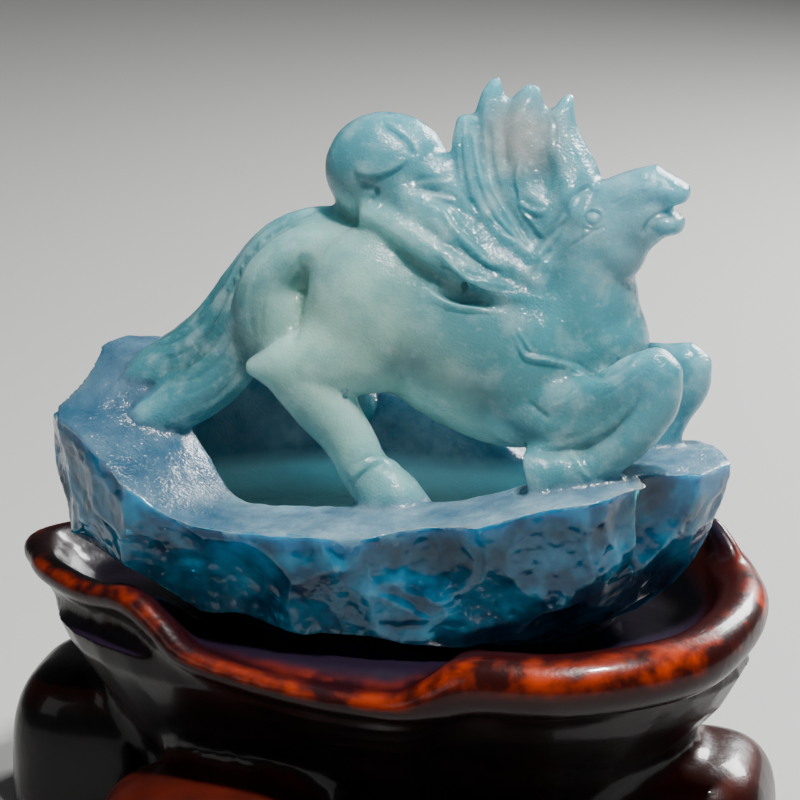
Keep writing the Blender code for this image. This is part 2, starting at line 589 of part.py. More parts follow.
def coat(made, material):
    """Gives a piece its one material."""
    made.data.materials.clear()
    made.data.materials.append(material)


stone_piece = carving()
stand_piece = wooden_stand()
place([stone_piece, stand_piece], MM)
coat(stone_piece, plain_material("aquamarine", (0.36, 0.62, 0.66), 0.35))
coat(stand_piece, plain_material("lacquered_hardwood", (0.05, 0.013, 0.008), 0.25))
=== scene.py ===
import math

import bmesh
import bpy
import numpy as np
from mathutils import Matrix, Vector, noise
from mathutils.bvhtree import BVHTree


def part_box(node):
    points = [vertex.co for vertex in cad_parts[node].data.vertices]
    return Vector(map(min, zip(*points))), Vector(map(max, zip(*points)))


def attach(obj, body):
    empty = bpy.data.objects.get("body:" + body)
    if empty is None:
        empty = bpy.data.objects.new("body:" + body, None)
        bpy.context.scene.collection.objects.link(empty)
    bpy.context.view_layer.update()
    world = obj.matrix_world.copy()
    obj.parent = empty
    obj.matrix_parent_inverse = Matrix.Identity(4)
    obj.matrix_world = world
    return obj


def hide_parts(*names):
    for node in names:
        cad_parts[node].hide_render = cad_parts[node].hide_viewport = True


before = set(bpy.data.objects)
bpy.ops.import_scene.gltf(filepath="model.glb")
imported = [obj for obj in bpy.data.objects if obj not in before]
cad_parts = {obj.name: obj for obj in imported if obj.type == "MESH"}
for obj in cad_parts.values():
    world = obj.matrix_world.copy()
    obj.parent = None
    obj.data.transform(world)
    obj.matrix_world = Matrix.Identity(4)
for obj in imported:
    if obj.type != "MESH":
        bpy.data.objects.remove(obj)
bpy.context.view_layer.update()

MM = 0.001

# The camera
# It stands half a metre off, a little to the right of the horse's shown side and above it, as in the
# photograph. The stand's foot runs out of the lower edge, as it does there. The view is WIDE mm across at
# the stone, and VIEW pixels.
AIM = np.array((3.02, 0.71, 73.0))
AWAY = 500.0
WIDE = 123.0
VIEW = 800
turn, tilt = math.radians(12.0), math.radians(17.0)
RIGHT = np.array((math.cos(turn), math.sin(turn), 0.0))
BACK = np.array((math.sin(turn) * math.cos(tilt), -math.cos(turn) * math.cos(tilt), math.sin(tilt)))
UP = np.cross(BACK, RIGHT)
lens = bpy.data.cameras.new("camera")
lens.sensor_width = 36.0
lens.lens = 36.0 * AWAY / WIDE
lens.clip_start = 0.01
camera = bpy.data.objects.new("camera", lens)
columns = np.stack([RIGHT, UP, BACK, (AIM + BACK * AWAY) * MM], axis=1)
camera.matrix_world = Matrix([*columns.tolist(), (0.0, 0.0, 0.0, 1.0)])
bpy.context.scene.collection.objects.link(camera)
bpy.context.scene.camera = camera


# The rough crystal
# Aquamarine rough, a block broken off a large crystal. Its sides are left as they broke, and its top is
# hollowed out to a basin with frosted ledges that the horse is left standing on.
UNDERSIDE = 4.5
# The stone is drawn in mm, with an origin of its own, which lies here in the part
STONE_AT = np.array((3.017, 0.706, 34.3))
# The outline from above, and heights with the shares of it reached to the left, right, front and back
CRYSTAL_PLAN = [
    (-55.5, 0), (-51, -12), (-38, -22.5), (-14, -27.5), (12, -28), (34, -23),
    (46, -12), (51, 1), (45, 14), (27, 22), (2, 24), (-24, 22), (-45, 13.5),
]
CRYSTAL_CENTRE = (0.0, -3.0)
CRYSTAL_LEVELS = [
    (4.5, 0.47, 0.62, 0.45, 0.72), (7.7, 0.64, 0.76, 0.85, 0.9), (11.7, 0.85, 0.87, 0.96, 0.95),
    (16.2, 0.97, 0.92, 0.99, 0.98), (21, 1, 0.96, 1.01, 1), (28, 1.01, 1, 1.02, 1.01),
    (33, 1.01, 1.01, 1.02, 1.01), (60, 0.97, 1, 1, 1.01),
]
BASIN_FLOOR = 20.0
CRYSTAL_TOP = 60.0
SPARE = 6.0
# The ledge at the front and the wall at the back: places along them, half heights and half widths
FRONT_RIM = [
    (-41, 8, 32.5, 13, 9), (-45, -3, 27.5, 11.5, 12), (-38.5, -12.5, 23.5, 9.5, 12.5),
    (-28, -18.5, 19, 6.6, 12), (-15, -20.5, 18.8, 6.6, 11), (0, -20.5, 19.5, 7, 10.5),
    (14, -19.5, 20.5, 7.8, 10.5), (26, -18, 22.5, 9, 11), (36, -14, 24.2, 9, 11),
    (44, -4, 24, 8.6, 10), (43, 8, 23.5, 8.6, 9),
]
BACK_WALL = [
    (-43, 5, 31.5, 13, 9), (-35, 13, 30, 12.5, 8), (-24, 18.5, 27.5, 12, 6.5),
    (-14, 20, 25, 11, 5.5), (-5, 20, 23.5, 10.5, 5), (4, 19.5, 21.5, 10, 4.8),
    (12, 19, 17.8, 9, 4.6), (22, 18.5, 16, 7.5, 5), (34, 16, 20, 9, 6.5),
    (43, 8, 23.5, 8.6, 9),
]
# What broke off the sides: ellipsoids with their centres and radii, and a block with its inner corner, its
# width, depth and height, and its turn in degrees
CHIPS = [
    ((-37, -60, 9), (44, 42, 30)), ((-8, -70, 7), (36, 46, 26)),
    ((11, -72, 22), (26, 47.5, 26)), ((30, -58, 6), (30, 36.5, 26)),
    ((62, -16, 6), (17, 26, 22)), ((-66, -18, 20), (17.5, 20, 30)),
    ((-66, -6, 56), (22, 32, 24)), ((22, 58, 16), (40, 37, 26)),
    ((-20, 62, 26), (34, 40, 30)), ((-64, 26, 24), (24, 21, 26)),
    ((61, 24, 20), (19, 17, 26)),
]
CORNER_BREAK = ((38.8, -14, -6), (30, 30, 70), 22)
FROSTED, BROKEN = 0, 1


def smooth_stations(stations, steps):
    """Points on a smooth curve through the stations, with the radii carried along."""
    known = np.array(stations, float)
    padded = np.vstack([2 * known[0] - known[1], known, 2 * known[-1] - known[-2]])
    rows = []
    for i in range(len(known) - 1):
        a, b, c, d = padded[i:i + 4]
        for t in np.arange(steps) / steps:
            square, cube = 2 * a - 5 * b + 4 * c - d, 3 * b - a - 3 * c + d
            rows.append(0.5 * (2 * b + (c - a) * t + square * t**2 + cube * t**3))
    return np.vstack([rows, known[-1]])


def loft(
    stations, across=(0.0, 1.0, 0.0), sides=14, steps=4, power=2.0, caps=(0.8, 0.8), strands=0, groove=0.0
):
    """Rings along a path, closed by domed caps, with grooves between strands that run along it.

    A station is x, y and z, the half width towards across, and the half width at right angles to that.
    """
    rows = smooth_stations(stations, steps)
    centres = rows[:, :3]
    radii = np.maximum(rows[:, 3:5], 0.2)
    tangents = np.gradient(centres, axis=0)
    tangents /= np.linalg.norm(tangents, axis=1)[:, None]
    dome = np.radians([75.0, 50.0, 25.0])
    head = [(0, -math.sin(a) * caps[0], math.cos(a)) for a in dome]
    tail = [(-1, math.sin(a) * caps[1], math.cos(a)) for a in dome[::-1]]
    plain = [(i, 0.0, 1.0) for i in range(len(rows))]
    angles = np.arange(sides) * 2 * math.pi / sides
    wave = np.stack([np.cos(angles), np.sin(angles)], axis=1)
    section = np.sign(wave) * np.abs(wave) ** (2 / power)
    vertices = []
    for i, along, share in head + plain + tail:
        first = np.array(across) - np.dot(across, tangents[i]) * tangents[i]
        first /= np.linalg.norm(first)
        second = np.cross(tangents[i], first)
        centre = centres[i] + tangents[i] * along * radii[i].min()
        drift = 0.35 * math.sin(i * 0.13 + len(stations))
        sunk = groove * (1 - np.abs(np.sin(angles * strands / 2 + drift * 3)) ** 0.7) if strands else 0.0
        ring = section * radii[i] * share
        ring *= (1 - np.minimum(sunk / max(radii[i].min(), 0.8), 0.35))[:, None] if strands else 1.0
        for p, q in ring:
            vertices.append(centre + first * p + second * q)
    rings = len(vertices) // sides
    faces = [tuple(range(sides))[::-1], tuple(range((rings - 1) * sides, rings * sides))]
    for r in range(rings - 1):
        for s in range(sides):
            t = (s + 1) % sides
            faces.append((r * sides + s, r * sides + t, (r + 1) * sides + t, (r + 1) * sides + s))
    return vertices, faces


def ellipsoid(centre, radii, rings=12, sides=18, power=2.0):
    """A closed ellipsoid as vertices and faces. A power above 2 makes it squarer."""
    vertices = []
    for r in range(1, rings):
        polar = math.pi * r / rings
        for s in range(sides):
            turn = 2 * math.pi * s / sides
            unit = np.array((
                math.sin(polar) * math.cos(turn), math.sin(polar) * math.sin(turn), math.cos(polar)
            ))
            vertices.append(np.array(centre) + np.array(radii) * np.sign(unit) * np.abs(unit) ** (2 / power))
    faces = [tuple(range(sides)), tuple(range((rings - 2) * sides, (rings - 1) * sides))[::-1]]
    for r in range(rings - 2):
        for s in range(sides):
            t = (s + 1) % sides
            faces.append((r * sides + s, (r + 1) * sides + s, (r + 1) * sides + t, r * sides + t))
    return vertices, faces


def stacked(levels, outline_at):
    """A closed stack of level outlines, given bottom first."""
    vertices = []
    for level in levels:
        vertices.extend(outline_at(level))
    sides = len(vertices) // len(levels)
    faces = [tuple(range(sides))[::-1], tuple(range(len(vertices) - sides, len(vertices)))]
    for r in range(len(levels) - 1):
        for s in range(sides):
            t = (s + 1) % sides
            faces.append((r * sides + s, r * sides + t, (r + 1) * sides + t, (r + 1) * sides + s))
    return vertices, faces


def make_object(name, *forms):
    """One mesh object that holds all the forms, with every face pointing out of its own form."""
    vertices, faces = [], []
    for form_vertices, form_faces in forms:
        start = len(vertices)
        vertices.extend([tuple(v) for v in form_vertices])
        faces.extend([tuple(i + start for i in face) for face in form_faces])
    mesh = bpy.data.meshes.new(name)
    mesh.from_pydata(vertices, [], faces)
    build = bmesh.new()
    build.from_mesh(mesh)
    bmesh.ops.recalc_face_normals(build, faces=build.faces)
    build.to_mesh(mesh)
    build.free()
    made = bpy.data.objects.new(name, mesh)
    bpy.context.scene.collection.objects.link(made)
    return made


def settle(made):
    """Replaces an object's mesh with what its modifiers make of it, and drops the modifiers."""
    graph = bpy.context.evaluated_depsgraph_get()
    final = bpy.data.meshes.new_from_object(made.evaluated_get(graph))
    made.modifiers.clear()
    made.data = final
    return made


def fuse(made, voxel, fillet=0.0, smoothing=0):
    """Merges overlapping forms into one skin, rounding the creases between them."""
    if fillet:
        swell = made.modifiers.new("swell", "DISPLACE")
        swell.mid_level = 0.0
        swell.strength = fillet
    remesh = made.modifiers.new("merge", "REMESH")
    remesh.mode = "VOXEL"
    remesh.voxel_size = voxel
    if fillet:
        shrink = made.modifiers.new("shrink", "DISPLACE")
        shrink.mid_level = 0.0
        shrink.strength = -fillet
    if smoothing:
        smooth = made.modifiers.new("smooth", "SMOOTH")
        smooth.factor = 0.5
        smooth.iterations = smoothing
    return settle(made)


def boolean(made, other, operation):
    """Joins, cuts or intersects with another object, which is then removed."""
    modifier = made.modifiers.new(operation.lower(), "BOOLEAN")
    modifier.operation = operation
    modifier.solver = "EXACT"
    modifier.object = other
    settle(made)
    bpy.data.objects.remove(other)
    return made


def thin_out(made, triangles):
    """Collapses edges until about this many triangles are left."""
    made.data.calc_loop_triangles()
    decimate = made.modifiers.new("thin out", "DECIMATE")
    decimate.ratio = min(1.0, triangles / len(made.data.loop_triangles))
    decimate.use_collapse_triangulate = True
    return settle(made)


def level_cut(made, height):
    """Cuts off everything below a height, and closes the cut with a flat face."""
    build = bmesh.new()
    build.from_mesh(made.data)
    geometry = build.verts[:] + build.edges[:] + build.faces[:]
    bmesh.ops.bisect_plane(
        build, geom=geometry, dist=1e-5, plane_co=(0, 0, height), plane_no=(0, 0, 1), clear_inner=True
    )
    rim = [edge for edge in build.edges if edge.is_boundary]
    bmesh.ops.holes_fill(build, edges=rim)
    bmesh.ops.triangulate(build, faces=build.faces)
    bmesh.ops.recalc_face_normals(build, faces=build.faces)
    build.to_mesh(made.data)
    build.free()
    return made


def keep_largest(made):
    """Removes loose crumbs and sealed pockets, so that one closed skin is left."""
    build = bmesh.new()
    build.from_mesh(made.data)
    unseen = set(build.verts)
    islands = []
    while unseen:
        front = [unseen.pop()]
        island = list(front)
        while front:
            vertex = front.pop()
            for edge in vertex.link_edges:
                other = edge.other_vert(vertex)
                if other in unseen:
                    unseen.remove(other)
                    front.append(other)
                    island.append(other)
        islands.append(island)
    islands.sort(key=len)
    for island in islands[:-1]:
        bmesh.ops.delete(build, geom=island, context="VERTS")
    build.to_mesh(made.data)
    build.free()
    return made


def crystal_outline(height, grow=0.0):
    """The crystal's outline at a height in the drawing, made larger all round by grow."""
    levels = np.array(CRYSTAL_LEVELS)
    left, right, front, back = (np.interp(height, levels[:, 0], levels[:, k]) for k in range(1, 5))
    points = []
    for x, y in np.array(CRYSTAL_PLAN) - CRYSTAL_CENTRE:
        x *= left if x < 0 else right
        y *= front if y < 0 else back
        reach = math.hypot(x, y)
        points.append((
            CRYSTAL_CENTRE[0] + x * (1 + grow / reach), CRYSTAL_CENTRE[1] + y * (1 + grow / reach), height
        ))
    return points


def crystal_hull(bottom, top, grow=0.0):
    """The crystal before it was carved, between two heights in the drawing."""
    inner = [row[0] for row in CRYSTAL_LEVELS if bottom < row[0] < top]
    return stacked([bottom] + inner + [top], lambda height: crystal_outline(height, grow))


def corner_block():
    """The block that is missing at the front right, turned about its inner corner."""
    (x, y, z), (wide, deep, tall), turn = CORNER_BREAK
    cos, sin = math.cos(math.radians(turn)), math.sin(math.radians(turn))
    corners = [(0.0, 0.0), (0.0, -deep), (wide, -deep), (wide, 0.0)]

    def level(height):
        lean = (height - z) * 0.06
        return [(x + a * cos - b * sin, y + a * sin + b * cos + lean, height) for a, b in corners]

    return stacked([z, z + tall], level)


def marked(made, finish):
    """Gives every face of an object one of the stone's two finishes."""
    made.data.materials.append(None)
    made.data.materials.append(None)
    for face in made.data.polygons:
        face.material_index = finish
    return made


upright = (0.0, 0.0, 1.0)
rims = make_object(
    "rims",
    loft(FRONT_RIM, across=upright, sides=20, power=4.0),
    loft(BACK_WALL, across=upright, sides=20, power=3.0),
    crystal_hull(UNDERSIDE - SPARE, BASIN_FLOOR, grow=SPARE),
)
rock = marked(fuse(rims, 0.85, fillet=2.2, smoothing=4), FROSTED)
hull = make_object("hull", crystal_hull(UNDERSIDE - SPARE / 2, CRYSTAL_TOP))
boolean(rock, marked(hull, BROKEN), "INTERSECT")
for chip_centre, chip_radii in CHIPS:
    chip = make_object("chip", ellipsoid(chip_centre, chip_radii, 30, 44))
    boolean(rock, marked(chip, BROKEN), "DIFFERENCE")
boolean(rock, marked(make_object("corner break", corner_block()), BROKEN), "DIFFERENCE")
rock_finish = [face.material_index for face in rock.data.polygons]
rock_tree = BVHTree.FromPolygons(
    [vertex.co.copy() for vertex in rock.data.vertices],
    [tuple(face.vertices) for face in rock.data.polygons],
)


# The horse's body
# Cut from the same stone: barrel, neck, haunches and shoulders, ground to soft rounded masses that run
# into each other without an edge.
TORSO = [
    (-8.5, 0, 57.5, 9.5, 9), (-3, 0, 55.5, 12, 12.5), (4, 0, 53.5, 12.8, 14),
    (12, 0, 50.5, 13.4, 15.5), (20, 0, 48.2, 13.2, 15.6), (27, 0, 49, 12, 12.5),
    (31, 0, 51.5, 10, 8.5),
]
NECK = [
    (23, 0, 49, 11, 11), (27.5, -0.4, 54.5, 9.8, 9.6), (28.8, -0.8, 61, 7.8, 7.4),
    (29.8, -1.4, 66, 6.4, 6.4),
]
# Haunches and shoulders are ellipsoids, each with its centre and radii
NEAR_HAUNCH = ((-3, -6, 54.5), (10.8, 7.5, 13))
FAR_HAUNCH = ((-3, 6, 54.5), (10.8, 7.5, 13))
NEAR_SHOULDER = ((20.5, -7.5, 47.5), (9, 6.5, 12.5))
FAR_SHOULDER = ((21.5, 7, 47.5), (9, 6.5, 12))
NEAR_GASKIN = [
    (-4, -8, 50, 5, 8.5), (-11, -9.3, 47, 4.4, 6), (-16.5, -10, 46, 3.6, 4.2),
    (-20.6, -10, 45.7, 2, 1.6),
]
FAR_HIND_LEG = [
    (-4, 7.5, 50, 5, 8), (-8, 10, 45, 4.2, 5.4), (-11.5, 12.5, 39, 3.8, 4.2),
    (-11, 15, 32, 3.8, 4),
]
trunk = make_object(
    "trunk",
    loft(TORSO, sides=32, steps=6), loft(NECK, sides=28, steps=6),
    ellipsoid(*NEAR_HAUNCH, 18, 26), ellipsoid(*FAR_HAUNCH, 18, 26),
    ellipsoid(*NEAR_SHOULDER, 18, 26), ellipsoid(*FAR_SHOULDER, 18, 26),
    loft(NEAR_GASKIN, sides=24, steps=6), loft(FAR_HIND_LEG, sides=24, steps=6),
)
fuse(trunk, 0.6, fillet=1.6, smoothing=6)


# Head and legs
# The head is raised, with the mouth open. The near foreleg kneels and its hoof hangs over the ledge,
# the far one stands on the shelf behind it, and the near hind leg is planted in the basin.
MOUTH = ((44.6, -2, 71.5), (3.6, 6, 1.15))
HEAD = [
    (27.5, -1.5, 66, 6, 6), (31, -1.6, 67.8, 5.9, 6.6), (35, -1.8, 69.6, 4.9, 5.8),
    (38.2, -2, 71.2, 4, 4.8),
]
UPPER_JAW = [(33, -1.8, 72, 4.4, 3.8), (38, -2, 74.6, 3.8, 3), (42.9, -2, 73.9, 3, 1.7)]
NOSTRIL_RIDGE = [(36, -2, 75.2, 3, 2), (39, -2, 77.1, 2.2, 1)]
LOWER_JAW = [(33, -1.8, 66.8, 4.2, 4), (38, -2, 69, 3.4, 2.5), (42.2, -2, 69.3, 2.8, 1.7)]
CHEEK = ((31.8, -1.8, 65.5), (6.3, 5.8, 6.4))
NEAR_HIND_CANNON = [
    (-15, -10, 45.6, 3.6, 4.4), (-10.2, -10, 40.6, 3.8, 4.8), (-6, -10.3, 35.6, 3.5, 4.1),
    (-3.4, -11, 31, 3.6, 3.9), (-1.5, -11.5, 28.5, 3.8, 3.8),
]
NEAR_HIND_HOOF = [(-0.4, -11.8, 30.2, 3.4, 3.2), (0.8, -12, 27.4, 4.4, 4.8), (1.6, -12, 24.3, 4.9, 6.2)]
NEAR_FOREARM = [
    (19, -8.5, 44, 4.6, 6), (27.5, -10.8, 43.3, 4, 4.4), (33, -12, 44.4, 3.6, 3.9),
    (38.5, -12.6, 48, 3.4, 4), (41.6, -12.8, 50.2, 3.2, 3.2),
]
NEAR_ELBOW = [
    (18, -8, 44, 5, 6), (25, -10.6, 40.6, 4.2, 5.2), (31, -12, 40.6, 3.6, 4),
    (38, -12.6, 45, 3.2, 3.4),
]
NEAR_FORE_CANNON = [
    (41.8, -13, 49.6, 3.3, 3.4), (41.1, -13.3, 45, 3.5, 3.7), (38.3, -13.8, 40.3, 3.4, 3.4),
    (34.5, -14.2, 36.4, 3.1, 3), (31.5, -14.5, 34.3, 3, 2.8),
]
NEAR_FORE_HOOF = [(32, -14.6, 34.6, 3.2, 2.6), (27.8, -14.6, 33.6, 3.9, 3.7), (23.2, -14.6, 32.4, 4.4, 4.6)]
FAR_FOREARM = [
    (22, 7.5, 46, 5, 6), (32, 9, 44, 3.8, 4.2), (39, 8.8, 44, 3.4, 3.6),
    (43.6, 8.3, 45, 3.1, 3.2),
]
FAR_FORE_CANNON = [
    (43.8, 8.3, 44.8, 3.2, 3.3), (43.2, 8.2, 41, 3.4, 3.4), (40.8, 8, 36.4, 3, 3),
    (38.6, 8, 31, 3.4, 3.4),
]
limb_rings = dict(sides=28, steps=8)
limbs = make_object(
    "limbs",
    *[loft(bone, **limb_rings) for bone in (
        HEAD, UPPER_JAW, LOWER_JAW, NOSTRIL_RIDGE, NEAR_HIND_CANNON, NEAR_FOREARM, NEAR_ELBOW,
        NEAR_FORE_CANNON, FAR_FOREARM, FAR_FORE_CANNON,
    )],
    loft(NEAR_HIND_HOOF, power=2.6, caps=(0.8, 0.1), **limb_rings),
    loft(NEAR_FORE_HOOF, power=2.6, caps=(0.8, 0.1), **limb_rings),
    ellipsoid(*CHEEK, 18, 26),
)
fuse(limbs, 0.42, fillet=0.45, smoothing=2)
boolean(limbs, make_object("mouth", ellipsoid(*MOUTH, 18, 26)), "DIFFERENCE")


# Tail, mane and curl
# The locks are cut as thick tapering strands with a groove between one strand and the next. The round
# curl above the back is the end of a lock that is rolled in on itself.
BACK_CURL = ((-1.9, 0, 74.8), (9.6, 6.8, 8.9))
TAIL = [
    [(-7, 0.5, 65, 4, 3), (-13, 1, 65.4, 4.2, 3.2), (-19.5, 1.8, 61.6, 4.4, 3.8),
     (-24, 2.6, 55, 4.8, 4.6), (-28, 2.4, 48.8, 5.2, 5), (-33, 1.2, 44.2, 5.4, 4.8),
     (-38.5, -0.4, 41.2, 5, 4.2), (-43, -1.5, 38.6, 3.6, 2.8)],
    [(-8, -2.5, 64, 4, 3.4), (-14.5, -3.6, 62.6, 4, 3.8), (-19.3, -4.4, 58, 3.8, 4.4),
     (-19.4, -4.6, 51.5, 3.6, 6.6), (-18.4, -4.6, 46.4, 3, 5.4)],
    [(-18, -1.5, 59, 4, 4), (-23.5, -1.6, 50.5, 4.4, 4.6), (-27, -2.8, 43.5, 4.4, 4.8),
     (-32, -4.6, 38.6, 4.2, 4.4), (-38, -6.4, 35.4, 3.6, 3.6), (-42.5, -7.4, 33.4, 2.6, 2.4)],
]
MANE = [
    [(25, -1, 64.5, 6.5, 5), (18, 0, 72, 5.2, 4.4), (14.6, 1.5, 79.5, 4, 3.5),
     (13.7, 2, 85.5, 2.6, 2.3), (14.3, 2, 89, 0.9, 0.7)],
    [(26, -1, 66, 6.5, 5), (20.6, 0.5, 73.5, 5.6, 4.8), (18.9, 1.5, 80.5, 4.2, 3.9),
     (19.1, 2, 85.2, 2.8, 2.8), (19.6, 2, 87.4, 1.4, 1.6)],
    [(28, -1.5, 69, 6.2, 4.4), (25.6, 0.5, 75, 5.6, 4.6), (24.2, 1.5, 81.5, 3.6, 2.8),
     (24.7, 2, 85, 2.2, 1.6), (25.4, 2, 86.6, 1, 0.8)],
    [(23, -3, 62.5, 6, 4.5), (15.8, -2.4, 69, 5, 4), (11.9, -1.6, 75, 3.8, 3.2),
     (10.3, -1, 80, 2.8, 2.3), (10, -0.5, 83, 1.6, 1.4)],
    [(22.5, -5, 60.5, 5, 3.6), (14, -5.6, 64.5, 4.6, 3.5), (7.5, -5.6, 69, 4, 3.2),
     (2, -4.5, 72, 3.2, 2.6)],
    [(23.5, -6.4, 58, 4, 2.5), (16, -8.4, 60, 3.6, 2.6), (9, -8.6, 63.6, 3.6, 2.6),
     (2.5, -7.4, 67.4, 3.4, 2.4), (-3.5, -5.6, 69.4, 2.8, 2)],
    [(23.5, 5, 59.5, 5, 3.6), (15, 6.6, 63, 4.4, 3.4), (7.5, 6.2, 67.5, 4, 3.2),
     (1, 4.6, 71, 3.2, 2.6)],
    [(25, 3.6, 64, 4.6, 4.4), (18.5, 5.2, 71, 3.6, 4), (16.5, 5, 78, 2.6, 3),
     (17.4, 4.4, 82.5, 1.4, 1.4)],
    [(13, -3, 69, 4, 4.6), (8, -2.4, 73.4, 4, 4.2), (3, -1.6, 76, 3.6, 3.6)],
    [(22.5, 0.4, 66, 5.4, 8.6), (20.4, 1.2, 74, 4.9, 9.4), (19.6, 1.8, 80, 3.4, 7.8),
     (19.8, 2, 83, 2, 5.4)],
]
hair = make_object(
    "hair",
    *[loft(lock, sides=84, steps=10, strands=9, groove=0.4) for lock in TAIL],
    *[loft(lock, sides=72, steps=10, strands=7, groove=0.45) for lock in MANE],
    ellipsoid(*BACK_CURL, 30, 44),
)
fuse(hair, 0.42, fillet=0.2)


# The whole stone
# One skin over all of it, so horse, hair and crystal are one piece. Then come the flakes broken off the
# faces, and the lines that the carver cut with a small wheel.
# The finest form that the skin keeps, in mm, and the most triangles that it may have
STONE_GRAIN = 0.42
STONE_LIMIT = 196000


def join(name, *objects):
    """Gathers objects' meshes into one object, and removes them."""
    build = bmesh.new()
    for other in objects:
        build.from_mesh(other.data)
        bpy.data.objects.remove(other)
    mesh = bpy.data.meshes.new(name)
    build.to_mesh(mesh)
    build.free()
    made = bpy.data.objects.new(name, mesh)
    bpy.context.scene.collection.objects.link(made)
    return made


def places(mesh):
    """A mesh's vertices as rows of x, y and z."""
    rows = np.empty(len(mesh.vertices) * 3)
    mesh.vertices.foreach_get("co", rows)
    return rows.reshape(-1, 3)


def outward(mesh):
    """The way that the skin faces at each vertex."""
    rows = np.empty(len(mesh.vertices) * 3)
    mesh.vertex_normals.foreach_get("vector", rows)
    return rows.reshape(-1, 3)


def write(mesh, points):
    """Moves a mesh's vertices."""
    mesh.vertices.foreach_set("co", np.ascontiguousarray(points).ravel())
    mesh.update()


def keep(mesh, name, values):
    """Stores one number for each vertex, for the material to read."""
    layer = mesh.attributes.get(name) or mesh.attributes.new(name, "FLOAT", "POINT")
    layer.data.foreach_set("value", np.ascontiguousarray(values, dtype=np.float32))


def spread(mesh, values, times):
    """Averages each vertex's value with its neighbours' a number of times."""
    ends = np.empty(len(mesh.edges) * 2, dtype=np.int64)
    mesh.edges.foreach_get("vertices", ends)
    a, b = ends[::2], ends[1::2]
    count = np.bincount(a, minlength=len(values)) + np.bincount(b, minlength=len(values))
    for _ in range(times):
        total = np.bincount(a, values[b], len(values)) + np.bincount(b, values[a], len(values))
        values = 0.5 * values + 0.5 * total / np.maximum(count, 1)
    return values


def wander(points, size, seed):
    """Smooth noise between about -1 and 1 whose swells are this many millimetres wide."""
    away = Vector((seed * 17.3, seed * 5.1, seed * 9.7))
    return np.array([noise.noise(Vector(p) / size + away) for p in points])


def seen(points):
    """Where the camera sees points of the stone's drawing: pixels across and down, and mm away."""
    offset = points + STONE_AT - AIM
    away = AWAY - offset @ BACK
    scale = AWAY / away / (WIDE / VIEW)
    return VIEW / 2 + (offset @ RIGHT) * scale, VIEW / 2 - (offset @ UP) * scale, away


def in_sight(across, down, away):
    """1 for the points that nothing hides from the camera, and 0 for the others."""
    cell, cells, behind = 6, 150, 3.2
    row, column = (np.clip(part / cell, 0, cells - 1).astype(int) for part in (down, across))
    square = row * cells + column
    nearest = np.full(cells * cells, 1e9)
    np.minimum.at(nearest, square, away)
    return (away < nearest[square] + behind).astype(float)


def refine(made, chosen):
    """Splits every face between chosen vertices into four."""
    build = bmesh.new()
    build.from_mesh(made.data)
    edges = [edge for edge in build.edges if all(chosen[vertex.index] for vertex in edge.verts)]
    bmesh.ops.subdivide_edges(build, edges=edges, cuts=1, use_grid_fill=True)
    build.to_mesh(made.data)
    build.free()


stone = join("horse_carving_stone", rock, trunk, limbs, hair)
fuse(stone, STONE_GRAIN, fillet=0.25, smoothing=1)
keep_largest(stone)
# The hair, head and chest have the finest lines: what the view shows right of and above these places
HAIR_LEFT, HAIR_LOW, CHEST_LEFT, CHEST_LOW = 340, 340, 500, 400
across, down, away = seen(places(stone.data))
shown = outward(stone.data) @ BACK * in_sight(across, down, away) > 0.1
refine(stone, shown & (across > HAIR_LEFT) & (down < np.where(across > CHEST_LEFT, CHEST_LOW, HAIR_LOW)))
mesh = stone.data
points = places(mesh)
near = [rock_tree.find_nearest(Vector(p)) for p in points]
gap = np.array([hit[3] for hit in near])
broken = np.array([rock_finish[hit[2]] for hit in near], float) * (gap < 0.6)
broken = spread(mesh, broken, 3)
horse = spread(mesh, np.clip((gap - 0.35) / 0.9, 0.0, 1.0), 3)


def soften(points, amount, times):
    """Smooths the skin where the amount is above 0."""
    for k in range(3):
        points[:, k] += amount * (spread(mesh, points[:, k], times) - points[:, k])
    return points


# Where the hair runs into the body without an edge: a place in the view, and its reach
SOFT_PLACES = [(385, 226, 34), (424, 262, 30), (360, 214, 24), (560, 300, 40), (330, 215, 26)]
points = soften(points, horse, 3)
across, down, away = seen(points)
soft = np.zeros(len(points))
for x, y, reach in SOFT_PLACES:
    soft = np.maximum(soft, np.clip(1.5 - np.hypot(across - x, down - y) / reach, 0, 1))
points = soften(points, soft * horse, 40)
write(mesh, points)


def flake(skin, aims, amount, count, radii, depths, seed):
    """Pushes the skin in where thin shells have sprung off it, each leaving a shallow round hollow."""
    dice = np.random.default_rng(seed)
    for pick in dice.choice(np.flatnonzero(amount > 0.6), count):
        radius = dice.uniform(*radii)
        depth = dice.uniform(*depths)
        aim = aims[pick] + dice.normal(0.0, 0.10, 3)
        aim /= np.linalg.norm(aim)
        centre = skin[pick] + aim * (radius - depth)
        reach = 1.7 * math.sqrt(2 * radius * depth)
        from_pick = skin - skin[pick]
        inside = np.flatnonzero((from_pick**2).sum(axis=1) < reach**2)
        offset = skin[inside] - centre
        along = -offset @ aim
        under = np.maximum(along**2 - (offset**2).sum(axis=1) + radius**2, 0.0)
        push = np.maximum(np.sqrt(under) - along, 0.0) * (under > 0)
        fade = np.clip(3.0 - 3.0 * np.linalg.norm(from_pick[inside], axis=1) / reach, 0.0, 1.0)
        skin[inside] -= aim * (np.minimum(push, 2 * depth) * fade * amount[inside])[:, None]


normals = outward(mesh)
side = spread(mesh, broken, 12)
side = np.clip((side - 0.35) / 0.5, 0.0, 1.0)
torn = np.flatnonzero(side > 0)
skin = points[torn]
